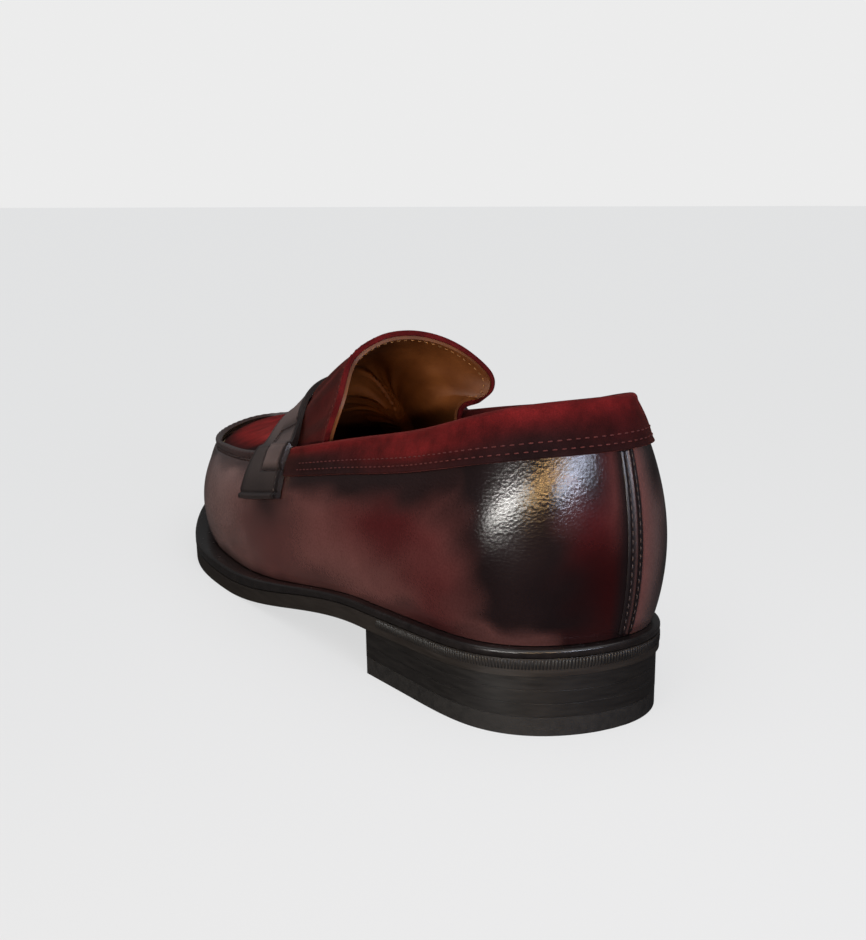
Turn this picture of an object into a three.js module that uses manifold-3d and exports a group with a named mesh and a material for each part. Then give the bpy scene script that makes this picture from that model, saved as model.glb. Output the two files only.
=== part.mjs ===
// Left penny loafer, built as an assembly of its separate pieces.
// Lengths are in millimetres. +Z is up, the toe points to -Y and the outer side of the foot is +X.
// Everything hangs on one last: a closed ring of stations runs round the sole edge, starting at the
// middle of the heel, passing the outer side, the toe and the inner side, and back to the heel.
import * as THREE from "three";
import ManifoldModule from "manifold-3d";

const manifoldKernel = await ManifoldModule();
manifoldKernel.setup();
const { Manifold, Mesh: KernelMesh } = manifoldKernel;

// ---- the last: one row per station, [along, side, weltWidth, wallTopHeight, leanIn, bulge, roundness]
const STATIONS = [
  [0.0, 0.0, 3.0, 92.0, 6.0, 4.5, 0.1],
  [3.9, 22.7, 3.2, 91.4, 4.1, 4.5, 0.1],
  [20.8, 38.8, 3.2, 87.7, 2.0, 3.9, 0.1],
  [49.3, 44.6, 3.0, 79.5, 3.0, 4.2, 0.1],
  [82.0, 48.7, 3.0, 72.0, 2.5, 4.0, 0.1],
  [115.8, 52.6, 3.5, 64.0, 1.5, 4.5, 0.2],
  [149.8, 55.0, 5.0, 57.0, 4.5, 4.5, 0.3],
  [183.8, 57.3, 6.5, 51.2, 7.0, 3.5, 0.4],
  [215.9, 55.5, 7.0, 48.4, 7.0, 4.2, 0.5],
  [246.0, 46.2, 7.0, 45.2, 4.4, 2.6, 0.5],
  [271.2, 32.1, 7.0, 44.6, 1.5, 3.2, 0.5],
  [291.2, 11.6, 7.0, 46.0, 3.0, 2.0, 0.5],
  [299.0, -11.5, 6.5, 46.0, 6.5, 2.0, 0.5],
  [284.5, -33.7, 6.0, 48.4, 8.8, 2.0, 0.5],
  [251.2, -40.9, 5.5, 52.5, 9.0, 2.5, 0.5],
  [212.1, -36.3, 5.0, 58.0, 8.0, 3.5, 0.4],
  [170.3, -26.1, 4.0, 64.5, 4.0, 5.0, 0.3],
  [132.0, -19.3, 3.0, 68.4, 0.0, 5.5, 0.2],
  [95.5, -18.4, 3.0, 75.1, 0.0, 5.5, 0.1],
  [60.8, -23.3, 3.0, 81.4, 1.0, 4.7, 0.1],
  [30.8, -24.5, 2.5, 87.9, 7.3, 4.2, 0.1],
  [9.6, -17.3, 2.5, 91.2, 8.0, 4.9, 0.1],
];
const STATION_COUNT = STATIONS.length;
const TOE_STATION = 11.9; // where the outer and inner sides meet at the toe

// ---- bottom of the shoe
const HEEL_REST_HEIGHT = 18.0; // height of the outsole's underside at the back of the heel
const HEEL_SLOPE_DROP = 3.1; // how much lower that underside is at the heel breast
const HEEL_BREAST_ALONG = 73; // front face of the heel block
const FLAT_FROM_ALONG = 177; // the tread is flat from here
const FLAT_TO_ALONG = 203; // and rises as toe spring from here
const TOE_SPRING = 11.2;
const LAST_LENGTH = 298;
const OUTSOLE_THICKNESS = 5.0;
const EDGE_THICKNESS_WAIST = 7.6; // outsole and welt together
const EDGE_THICKNESS_FOREPART = 9.0;
const GAP = 0.3; // clearance between neighbouring pieces
const LASTING_MARGIN_WIDTH = 12;
const LASTING_MARGIN_THICKNESS = 1.2;
const INSOLE_THICKNESS = 2.5;
const SOCK_THICKNESS = 1.0;
const HEEL_PAD_THICKNESS = 2.0;
const INSOLE_INSET = 4.8; // from the foot of the wall to the insole's edge
const HEEL_INSET = 1.0; // the heel block stands this far inside the outsole's edge
const TOP_LIFT_THICKNESS = 5.5;
const LIFT_THICKNESS = 3.6;
const NAIL_RADIUS = 0.9;
const NAIL_SIDES = 10;

// ---- thickness of the upper's layers, as distances in from the outside of the shoe
const OUTER_LEATHER = [0, -1.4];
const STIFFENER = [-1.9, -2.8];
const LINING = [-3.3, -4.2];
const COLLAR_OUTSIDE = [1.05, 0.3];
const COLLAR_INSIDE = [-5.8, -4.6];
const STRAP = [2.0, 0.45];
const BACKING = [0.05, -0.75];
const TONGUE_SUEDE = [0, 1.2]; // measured inwards from the tongue's own surface
const TONGUE_LINING = [1.6, 2.6];
const BACK_STRIP = [1.0, 0.4];
const TONGUE_BEND_OFFSET = -7.8; // the tongue stands this far inside the quarters where it turns up
const TONGUE_ROOT_OFFSET = -5.4; // and this far inside them under the strap

// ---- extents of the upper's pieces, as stations round the shoe and fractions of the wall height
const WALL_TOP_UNDER_COLLAR = 0.95;
const COLLAR_BOTTOM = 0.77;
const COLLAR_FROM = -4.75;
const COLLAR_TO = 5.25;
const COLLAR_FOLD_DEPTH = 12;
const COUNTER_REACH = 4.25;
const COUNTER_TOP = 0.62;
const PUFF_FROM = 9.0;
const PUFF_TO = 14.75;
const PUFF_TOP = 0.8;
const LINING_TOP_FOREPART = 0.82;
const QUARTER_LINING_FROM = -5.5;
const QUARTER_LINING_TO = 6.25;
const THROAT_OUTER_STATION = 4.9; // the tongue's free edge meets the outer side here
const THROAT_INNER_STATION = 17.5; // and the inner side here
const TONGUE_SEAT = 0.8;
const TONGUE_FRONT = 0.18; // the tongue ends here, under the strap
const TONGUE_BEND = 0.09; // between here and the rim it turns up towards its free edge
// Free rim of the tongue from the outer side over the top to the inner side: [along, side, height].
const TONGUE_RIM = [
  [112, 43.5, 54],
  [112, 41.5, 67],
  [110, 37.5, 80],
  [116, 30, 92],
  [115, 20.5, 98.3],
  [114, 10, 99.8],
  [112, -0.5, 97.8],
  [109.5, -10, 92.8],
  [107, -17.8, 85.2],
  [107.5, -19, 79.2],
  [111, -16, 74.8],
  [113, -9.5, 71.5],
  [113, -10.5, 58],
];
const APRON_BACK = 0.2;
const APRON_FRONT = 0.975;
const APRON_RECESS = 2.3;
const APRON_EDGE_INSET = 2.9;
const APRON_MOST_INSET = 0.45; // near the toe the two edges come no closer than this share
const APRON_THICKNESS = 1.4;
const VAMP_LINING_BACK = 0.2;
const VAMP_LINING_DROP = [6.2, 7.5]; // its crown lies this far below the instep, at its back and in front
const VAMP_LINING_FULLNESS = [1.5, 1.7];
const VAMP_LINING_BLEND = [0.2, 0.34]; // along this stretch it goes from the first value to the second
const STRAP_WALL_SHARE = 0.3; // share of the strap's length that each wing takes
const STRAP_WING_BOTTOM_BACK = 0.6;
const STRAP_WING_BOTTOM_FRONT = 0.55;
const STRAP_BACK_EDGE = [0.052, 0.168]; // where its edge lies at the wing, and how far it sweeps forward
const STRAP_FRONT_EDGE = [0.222, 0.113];
const STRAP_LIFT = 1.2;
const SLOT_HALF_WIDTH = 13; // the slot in the strap, a lens
const SLOT_HALF_LENGTH = 4;
const BACKING_ALONG = [0.235, 0.31];
const BACKING_ACROSS = [0.26, 0.74];
// Height of the instep's centre line from the tongue's free edge (0) to the toe (1).
const INSTEP_HEIGHTS = [100, 94.5, 81, 68.5, 60.5, 57, 54.5, 52.5, 50.5, 48.5, 46];
const INSTEP_FULLNESS = 0.95; // 1 gives the instep a parabola's cross-section, 0.5 an ellipse's
const ARCH_DROP = 6.5; // at the throat the arch starts this far below the wall's top edge
const ARCH_MARGIN = 0.05; // and this share of the width in from it
const ARCH_EASE = 6; // size of the round where leather leaves the top edge for the arch
const ARCH_FADE = [0.35, 0.6]; // along this stretch the drop dies out towards the toe

const up = new THREE.Vector3(0, 0, 1);
// The apron lies level with the strap's underside behind it and drops below the rolled edge in front.
const apronRecess = (g) => APRON_RECESS * (0.6 + 0.4 * smooth(0.3, 0.36, g));

function smooth(from, to, value) {
  const t = Math.min(1, Math.max(0, (value - from) / (to - from)));
  return t * t * (3 - 2 * t);
}

function mixed(pair, share) {
  return pair[0] + (pair[1] - pair[0]) * share;
}

// Control values of a closed cubic spline that passes through the given values.
function ringControls(values) {
  let controls = values.slice();
  for (let pass = 0; pass < 40; pass += 1) {
    controls = values.map((value, i) => {
      const before = controls[(i + values.length - 1) % values.length];
      const after = controls[(i + 1) % values.length];
      return (6 * value - before - after) / 4;
    });
  }
  return controls;
}

const columns = STATIONS[0].map((_, column) => ringControls(STATIONS.map((row) => row[column])));
const [ALONG, SIDE, WELT_WIDTH, TOP_HEIGHT, LEAN_IN, BULGE, ROUNDNESS] = columns;

function onRing(controls, station) {
  const wrapped = ((station % STATION_COUNT) + STATION_COUNT) % STATION_COUNT;
  const first = Math.floor(wrapped);
  const f = wrapped - first;
  const weights = [(1 - f) ** 3, 3 * f ** 3 - 6 * f ** 2 + 4, -3 * f ** 3 + 3 * f ** 2 + 3 * f + 1, f ** 3];
  let sum = 0;
  for (let j = 0; j < weights.length; j += 1) {
    sum += (weights[j] / 6) * controls[(first + j - 1 + STATION_COUNT) % STATION_COUNT];
  }
  return sum;
}

// A point of the sole edge moved in towards the middle of the shoe: [along, side].
function edgePoint(station, inset) {
  const step = 0.02;
  const da = onRing(ALONG, station + step) - onRing(ALONG, station - step);
  const ds = onRing(SIDE, station + step) - onRing(SIDE, station - step);
  const length = Math.hypot(da, ds);
  return [
    onRing(ALONG, station) + (ds / length) * inset,
    onRing(SIDE, station) - (da / length) * inset,
  ];
}

function undersideHeight(along) {
  const s = Math.min(1, Math.max(0, (along - HEEL_BREAST_ALONG) / (FLAT_FROM_ALONG - HEEL_BREAST_ALONG)));
  const slope = HEEL_SLOPE_DROP * Math.min(1, Math.max(0, along / HEEL_BREAST_ALONG));
  const spring = Math.max(0, (along - FLAT_TO_ALONG) / (LAST_LENGTH - FLAT_TO_ALONG));
  return (HEEL_REST_HEIGHT - slope) * (1 - s * s * (3 - 2 * s)) + TOE_SPRING * spring ** 2;
}

function weltTopHeight(along) {
  const thicker = EDGE_THICKNESS_FOREPART - EDGE_THICKNESS_WAIST;
  return undersideHeight(along) + EDGE_THICKNESS_WAIST + thicker * smooth(90, 170, along);
}

// ---- frame of the finished part: the middle of the footprint is the origin
const footprint = Array.from({ length: 1200 }, (_, i) => edgePoint((i * STATION_COUNT) / 1200, 0));
const BACK_OVERHANG = 1.5; // the upper and its back strip swell this far behind the sole edge
const middle = [0, 1].map((axis) => {
  const values = footprint.map((point) => point[axis]);
  const overhang = axis === 0 ? BACK_OVERHANG : 0;
  return (Math.min(...values) - overhang + Math.max(...values)) / 2;
});

function place(along, side, height) {
  return new THREE.Vector3(side - middle[1], middle[0] - along, height);
}

// A point of the upper's outside: v is 0 at the welt and 1 at the top of the wall.
function wallSurface(station, v) {
  const welt = onRing(WELT_WIDTH, station);
  const foot = edgePoint(station, welt);
  const base = weltTopHeight(foot[0]);
  const round = onRing(ROUNDNESS, station);
  const rise = (onRing(TOP_HEIGHT, station) - base) * ((1 - round) * v + round * Math.sin((Math.PI * v) / 2));
  const lean = (1 - round) * v * v + round * (1 - Math.cos((Math.PI * v) / 2));
  const swell = onRing(BULGE, station) * Math.sin(Math.PI * Math.max(v, 0) ** 0.85);
  const at = edgePoint(station, welt + onRing(LEAN_IN, station) * lean - swell);
  return place(at[0], at[1], base + rise);
}

// Unit vector across a surface that is given by a function of two parameters.
function outward(surface, a, b, stepA, stepB) {
  const alongA = surface(a + stepA, b).sub(surface(a - stepA, b));
  const alongB = surface(a, b + stepB).sub(surface(a, b - stepB));
  return alongA.cross(alongB).normalize();
}

// The cross product points in or out all round the ring; this sign, measured once, makes it point out.
const outwardSign = outward(wallSurface, 3, 0.5, 0.05, 0.03).x > 0 ? 1 : -1;

function wallPoint(station, v, offset) {
  const vSafe = Math.min(0.985, Math.max(0.03, v));
  const normal = outward(wallSurface, station, vSafe, 0.05, 0.03);
  return wallSurface(station, v).addScaledVector(normal, offset * outwardSign);
}

function wallHeight(station) {
  return wallSurface(station, 1).z - wallSurface(station, 0).z;
}

// ---- mesh helpers
const WELD = 1e4; // points nearer than one part in this many of a millimetre are one point
const OUTLINE_SAMPLES = 880; // points read from the sole edge when a plate is cut to it
const WHOLE_BACK = -10; // plates that run to the very back or front start and end beyond the sole
const WHOLE_FRONT = 400;

// Turns a list of triangles, each three points, into a closed indexed geometry facing outwards.
function closedGeometry(triangles) {
  const numbers = new Map();
  const positions = [];
  const index = [];
  const numberOf = (point) => {
    const key = [point.x, point.y, point.z].map((value) => Math.round(value * WELD)).join(",");
    if (!numbers.has(key)) {
      numbers.set(key, positions.length / 3);
      positions.push(point.x, point.y, point.z);
    }
    return numbers.get(key);
  };
  let volume = 0;
  for (const [a, b, c] of triangles) {
    const corners = [numberOf(a), numberOf(b), numberOf(c)];
    if (corners[0] !== corners[1] && corners[1] !== corners[2] && corners[2] !== corners[0]) {
      index.push(...corners);
      volume += a.dot(new THREE.Vector3().crossVectors(b, c));
    }
  }
  if (volume < 0) {
    for (let i = 0; i < index.length; i += 3) {
      [index[i + 1], index[i + 2]] = [index[i + 2], index[i + 1]];
    }
  }
  const geometry = new THREE.BufferGeometry();
  geometry.setAttribute("position", new THREE.Float32BufferAttribute(positions, 3));
  geometry.setIndex(index);
  geometry.computeVertexNormals();
  return geometry;
}

// A sheet with thickness: face and back give the points of its two sides at grid place (i, j).
// Its rows can be left free, joined into a ring, or folded so that the last row meets itself.
const FREE = "free";
const RING = "ring";
const FOLDED = "folded";
function sheetGeometry(rows, cols, face, back, ends) {
  const ringed = ends === RING;
  const grids = [face, back].map((pointAt) => {
    const grid = [];
    for (let i = 0; i <= rows; i += 1) {
      grid.push([]);
      for (let j = 0; j <= cols; j += 1) {
        grid[i].push(ringed && i === rows ? grid[0][j] : pointAt(i, j));
      }
    }
    return grid;
  });
  const [top, under] = grids;
  const triangles = [];
  const quad = (a, b, c, d) => {
    triangles.push([a, b, c], [a, c, d]);
  };
  for (let i = 0; i < rows; i += 1) {
    for (let j = 0; j < cols; j += 1) {
      quad(top[i][j], top[i + 1][j], top[i + 1][j + 1], top[i][j + 1]);
      quad(under[i][j], under[i][j + 1], under[i + 1][j + 1], under[i + 1][j]);
    }
    quad(top[i][0], under[i][0], under[i + 1][0], top[i + 1][0]);
    quad(top[i][cols], top[i + 1][cols], under[i + 1][cols], under[i][cols]);
  }
  if (!ringed) {
    for (let j = 0; j < cols; j += 1) {
      quad(top[0][j], top[0][j + 1], under[0][j + 1], under[0][j]);
      if (ends === FREE) {
        quad(top[rows][j], under[rows][j], under[rows][j + 1], top[rows][j + 1]);
      }
    }
  }
  return closedGeometry(triangles);
}

// The two sides of the sole edge at one distance along, for an outline moved in by an inset.
function crossSpan(inset) {
  const samples = OUTLINE_SAMPLES;
  const points = [];
  for (let i = 0; i <= samples; i += 1) {
    const station = (i * STATION_COUNT) / samples;
    points.push(edgePoint(station, typeof inset === "function" ? inset(station) : inset));
  }
  let back = 0;
  let front = 0;
  points.forEach((point, i) => {
    if (point[0] < points[back][0]) back = i;
    if (point[0] > points[front][0]) front = i;
  });
  const sideAt = (from, step, along) => {
    for (let i = from; i !== front; i = (i + step + samples) % samples) {
      const next = (i + step + samples) % samples;
      if (points[next][0] >= along) {
        const share = (along - points[i][0]) / (points[next][0] - points[i][0] || 1);
        return points[i][1] + share * (points[next][1] - points[i][1]);
      }
    }
    return points[front][1];
  };
  const start = points[back][0];
  const end = points[front][0];
  return { start, end, at: (along) => [sideAt(back, 1, along), sideAt(back, -1, along)] };
}

// A flat piece cut to the sole's outline, between two height functions of the distance along.
function plateGeometry(inset, from, to, lowAt, highAt, rows, cols) {
  const span = crossSpan(inset);
  const first = Math.max(from, span.start);
  const last = Math.min(to, span.end);
  const point = (i, j, heightAt) => {
    const t = i / rows;
    const eased = (1 - Math.cos(Math.PI * t)) / 2;
    const along = first + (last - first) * (0.25 * t + 0.75 * eased);
    const rounded = (i === 0 && first === span.start) || (i === rows && last === span.end);
    const sides = span.at(along);
    const share = rounded ? 0.5 : j / cols;
    return place(along, sides[0] + share * (sides[1] - sides[0]), heightAt(along));
  };
  return sheetGeometry(rows, cols, (i, j) => point(i, j, highAt), (i, j) => point(i, j, lowAt), FREE);
}

function nailGeometry(nail, low, high) {
  const geometry = new THREE.CylinderGeometry(nail.radius, nail.radius, high - low, NAIL_SIDES);
  geometry.rotateX(Math.PI / 2);
  const at = place(nail.along, nail.side, (low + high) / 2);
  geometry.translate(at.x, at.y, at.z);
  return geometry;
}

function toKernel(geometry) {
  const corners = geometry.index ? geometry.toNonIndexed() : geometry;
  const position = corners.getAttribute("position");
  const cornerAt = (i) => new THREE.Vector3().fromBufferAttribute(position, i);
  const triangles = [];
  for (let i = 0; i < position.count; i += 3) {
    triangles.push([cornerAt(i), cornerAt(i + 1), cornerAt(i + 2)]);
  }
  const closed = closedGeometry(triangles);
  return new Manifold(new KernelMesh({
    numProp: 3,
    vertProperties: Float32Array.from(closed.getAttribute("position").array),
    triVerts: Uint32Array.from(closed.getIndex().array),
  }));
}

function fromKernel(solid) {
  const mesh = solid.getMesh();
  const geometry = new THREE.BufferGeometry();
  const points = [];
  for (let i = 0; i < mesh.vertProperties.length; i += mesh.numProp) {
    points.push(mesh.vertProperties[i], mesh.vertProperties[i + 1], mesh.vertProperties[i + 2]);
  }
  geometry.setAttribute("position", new THREE.Float32BufferAttribute(points, 3));
  geometry.setIndex(Array.from(mesh.triVerts));
  geometry.computeVertexNormals();
  return geometry;
}

function cut(geometry, tools) {
  let solid = toKernel(geometry);
  for (const tool of tools) {
    solid = solid.subtract(toKernel(tool));
  }
  return fromKernel(solid);
}

const loafer = new THREE.Group();
loafer.name = "penny_loafer";

function addPiece(name, geometry, color, roughness, metalness) {
  const material = new THREE.MeshStandardMaterial({ color, roughness, metalness });
  const mesh = new THREE.Mesh(geometry, material);
  mesh.name = name;
  loafer.add(mesh);
}

const BURGUNDY_LEATHER = 0x5a2a2b;
const DARK_LEATHER = 0x2c1518;
const RED_SUEDE = 0x6e1a20;
const TAN_LINING = 0x9a5a2a;
const DARK_EDGE = 0x1f1816;
const BLACK_RUBBER = 0x181615;
const CORK_BROWN = 0xa9794a;
const HIDE_BROWN = 0x8a6a48;
const STEEL_GREY = 0x9a9a98;
const BRASS_YELLOW = 0xb0a070;
const INSOLE_TAN = 0xb48a5e;
const FOAM_CREAM = 0xd8c29a;
const BOARD_TAN = 0xb89a70;

// ---- outsole: one leather sheet from the heel to the toe, drilled for the heel nails
const NAIL_PLACES = [
  [14, 8],
  [30, 32],
  [30, -12],
  [60, 36],
  [60, -14],
];
const NAIL_CLEARANCE = 0.12;
const NAIL_GRIP = 3; // how far a nail stands up into the outsole
const NAILS = NAIL_PLACES.map(([along, side]) => ({ along, side, radius: NAIL_RADIUS }));
const nailLow = TOP_LIFT_THICKNESS + GAP;
const nailHigh = HEEL_REST_HEIGHT - HEEL_SLOPE_DROP + NAIL_GRIP;
const holes = NAILS.map((nail) => {
  const drill = { ...nail, radius: NAIL_RADIUS + NAIL_CLEARANCE };
  return nailGeometry(drill, -1, nailHigh + NAIL_CLEARANCE * 2);
});
const outsoleTop = (along) => undersideHeight(along) + OUTSOLE_THICKNESS;
const outsole = plateGeometry(0, WHOLE_BACK, WHOLE_FRONT, undersideHeight, outsoleTop, 34, 2);
addPiece("outsole", cut(outsole, holes), DARK_EDGE, 0.5, 0);

// ---- welt: a strip all round, sewn to the edge of the outsole
const WELT_RING_WIDTH = 15;
const RING_STEPS = 88;
const ringStation = (i) => (i * STATION_COUNT) / RING_STEPS;
const weltPoint = (i, inset, top) => {
  const at = edgePoint(ringStation(i), inset);
  const height = top ? weltTopHeight(at[0]) : undersideHeight(at[0]) + OUTSOLE_THICKNESS + GAP;
  return place(at[0], at[1], height);
};
const WELT_INSET = 0.2;
addPiece("welt", sheetGeometry(RING_STEPS, 1,
  (i, j) => weltPoint(i, j * WELT_RING_WIDTH + WELT_INSET, true),
  (i, j) => weltPoint(i, j * WELT_RING_WIDTH + WELT_INSET, false), RING), DARK_EDGE, 0.45, 0);

// ---- inside the welt, on the outsole: cork under the forepart, steel shank, filler under the heel
const FILLER_BELOW_WELT = 0.1;
const fillerLow = (along) => undersideHeight(along) + OUTSOLE_THICKNESS + GAP;
const fillerHigh = (along) => weltTopHeight(along) - FILLER_BELOW_WELT;
const FILLER_INSET = WELT_RING_WIDTH + 1.0;
const CORK_FROM = 150;
const SHANK_REACH = [58, 146];
const SEAT_FILLER_TO = 55;
const SHANK_HALF_WIDTH = [3.9, 7]; // at its ends and in its middle
const SHANK_THICKNESS = 1.4;
const SHANK_CLEARANCE = 0.2;
const SHANK_ROWS = 14;
addPiece("forepart_cork",
  plateGeometry(FILLER_INSET, CORK_FROM, WHOLE_FRONT, fillerLow, fillerHigh, 14, 2), CORK_BROWN, 0.95, 0);
addPiece("heel_seat_filler",
  plateGeometry(FILLER_INSET, WHOLE_BACK, SEAT_FILLER_TO, fillerLow, fillerHigh, 10, 2), HIDE_BROWN, 0.9, 0);
const waist = crossSpan(0);
const shankPoint = (i, j, lift) => {
  const share = i / SHANK_ROWS;
  const along = mixed(SHANK_REACH, share);
  const sides = waist.at(along);
  const half = mixed(SHANK_HALF_WIDTH, Math.sin(Math.PI * share));
  const across = (sides[0] + sides[1]) / 2 + (j * 2 - 1) * half;
  return place(along, across, fillerLow(along) + SHANK_CLEARANCE + lift);
};
addPiece("shank", sheetGeometry(SHANK_ROWS, 1, (i, j) => shankPoint(i, j, SHANK_THICKNESS),
  (i, j) => shankPoint(i, j, 0), FREE), STEEL_GREY, 0.35, 0.9);

// ---- insole board, heel pad and sock liner
const insoleInset = (station) => onRing(WELT_WIDTH, station) + INSOLE_INSET;
const insoleLow = (along) => weltTopHeight(along) + GAP + LASTING_MARGIN_THICKNESS + GAP;
const insoleHigh = (along) => insoleLow(along) + INSOLE_THICKNESS;
addPiece("insole",
  plateGeometry(insoleInset, WHOLE_BACK, WHOLE_FRONT, insoleLow, insoleHigh, 26, 2), INSOLE_TAN, 0.8, 0);
const PAD_END = 66;
const PAD_THINS_OVER = [74, 50]; // the pad is full behind this stretch and gone in front of it
const PAD_INSET = 4;
const SOCK_FALLS_OVER = [82, 66]; // the sock liner comes down from the pad to the insole here
const SOCK_INSET = 0.4;
const padInset = (station) => insoleInset(station) + PAD_INSET;
const padLow = (a) => insoleHigh(a) + GAP;
const padHigh = (a) => padLow(a) + HEEL_PAD_THICKNESS * smooth(PAD_THINS_OVER[0], PAD_THINS_OVER[1], a);
addPiece("heel_pad",
  plateGeometry(padInset, WHOLE_BACK, PAD_END, padLow, padHigh, 12, 2), FOAM_CREAM, 0.95, 0);
const sockInset = (station) => insoleInset(station) + SOCK_INSET;
const overPad = (a) => (HEEL_PAD_THICKNESS + GAP) * smooth(SOCK_FALLS_OVER[0], SOCK_FALLS_OVER[1], a);
const sockLow = (a) => padLow(a) + overPad(a);
const sockHigh = (a) => sockLow(a) + SOCK_THICKNESS;
addPiece("sock_liner",
  plateGeometry(sockInset, WHOLE_BACK, WHOLE_FRONT, sockLow, sockHigh, 28, 2), TAN_LINING, 0.6, 0);

// ---- heel: rubber top lift, two level leather lifts and one wedge lift that meets the outsole
const lift1Low = TOP_LIFT_THICKNESS + GAP;
const lift2Low = lift1Low + LIFT_THICKNESS + GAP;
const wedgeLow = lift2Low + LIFT_THICKNESS + GAP;
function heelPlate(low, highAt) {
  return plateGeometry(HEEL_INSET, WHOLE_BACK, HEEL_BREAST_ALONG, () => low, highAt, 18, 1);
}
const lift1 = heelPlate(lift1Low, () => lift1Low + LIFT_THICKNESS);
const lift2 = heelPlate(lift2Low, () => lift2Low + LIFT_THICKNESS);
const wedge = heelPlate(wedgeLow, (a) => undersideHeight(a) - GAP);
addPiece("top_lift", heelPlate(0, () => TOP_LIFT_THICKNESS), BLACK_RUBBER, 0.6, 0);
addPiece("heel_lift_1", cut(lift1, holes), DARK_EDGE, 0.45, 0);
addPiece("heel_lift_2", cut(lift2, holes), DARK_EDGE, 0.45, 0);
addPiece("heel_wedge_lift", cut(wedge, holes), DARK_EDGE, 0.45, 0);
NAILS.forEach((nail, i) => {
  addPiece(`heel_nail_${i + 1}`, nailGeometry(nail, nailLow, nailHigh), BRASS_YELLOW, 0.35, 0.9);
});

// ---- wall: one band of smooth leather round the whole shoe, turned in under the insole
const MARGIN_STEPS = 1;
const WALL_STEPS = 8;
const WALL_CROWDING = 1.2; // crowds the rows towards the welt, where the wall curves most
const wallTop = (station) => {
  const inner = station > STATION_COUNT / 2 ? STATION_COUNT - station : station;
  const open = station > STATION_COUNT / 2 ? -COLLAR_FROM : COLLAR_TO;
  return mixed([WALL_TOP_UNDER_COLLAR, 1], smooth(open + 0.1, open + 0.8, inner));
};
const wallSide = (i, j, side) => {
  const station = ringStation(i);
  const foot = wallSurface(station, 0);
  const above = side === 0 ? GAP : GAP + LASTING_MARGIN_THICKNESS;
  if (j < MARGIN_STEPS) {
    const at = edgePoint(station, onRing(WELT_WIDTH, station) + LASTING_MARGIN_WIDTH);
    return place(at[0], at[1], weltTopHeight(at[0]) + above);
  }
  const v = wallTop(station) * ((j - MARGIN_STEPS) / WALL_STEPS) ** WALL_CROWDING;
  if (j === MARGIN_STEPS) {
    const at = edgePoint(station, onRing(WELT_WIDTH, station) - OUTER_LEATHER[side]);
    return place(at[0], at[1], foot.z + above);
  }
  return wallPoint(station, v, OUTER_LEATHER[side]);
};
addPiece("side_wall", sheetGeometry(RING_STEPS, MARGIN_STEPS + WALL_STEPS,
  (i, j) => wallSide(i, j, 0), (i, j) => wallSide(i, j, 1), RING), BURGUNDY_LEATHER, 0.35, 0);

const BAND_STEP = STATION_COUNT / RING_STEPS;
// A band of the wall between two stations and two heights, at two distances from the outside.
function wallBand(from, to, bottomMm, topAt, offsets, cols) {
  const rows = Math.max(2, Math.round((to - from) / BAND_STEP));
  const point = (i, j, offset) => {
    const station = from + ((to - from) * i) / rows;
    const low = bottomMm / wallHeight(station);
    return wallPoint(station, low + ((topAt(station) - low) * j) / cols, offset);
  };
  const face = (i, j) => point(i, j, offsets[0]);
  const back = (i, j) => point(i, j, offsets[1]);
  return sheetGeometry(rows, cols, face, back, FREE);
}

const ABOVE_MARGIN = 2.6; // inner layers start this high, clear of the lasting margin
const BACK_STRIP_REACH = 0.13;
const BACK_STRIP_FOOT = 1.5;
const stripTop = () => COLLAR_BOTTOM - 0.012;
const stripBand = wallBand(-BACK_STRIP_REACH, BACK_STRIP_REACH, BACK_STRIP_FOOT, stripTop, BACK_STRIP, 9);
addPiece("back_strip", stripBand, DARK_LEATHER, 0.4, 0);
const COUNTER_FALL = 0.2; // the counter gets this much lower over its last stations
const counterTop = (station) => {
  return COUNTER_TOP - COUNTER_FALL * smooth(COUNTER_REACH - 2.5, COUNTER_REACH, Math.abs(station));
};
const counterBand = wallBand(-COUNTER_REACH, COUNTER_REACH, ABOVE_MARGIN, counterTop, STIFFENER, 5);
addPiece("heel_counter", counterBand, BOARD_TAN, 0.8, 0);
const puffBand = wallBand(PUFF_FROM, PUFF_TO, ABOVE_MARGIN, () => PUFF_TOP, STIFFENER, 4);
addPiece("toe_puff", puffBand, BOARD_TAN, 0.85, 0);
const liningTop = () => WALL_TOP_UNDER_COLLAR - 0.015;
const liningBand = wallBand(QUARTER_LINING_FROM, QUARTER_LINING_TO, ABOVE_MARGIN, liningTop, LINING, 5);
addPiece("quarter_lining", liningBand, TAN_LINING, 0.6, 0);

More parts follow.
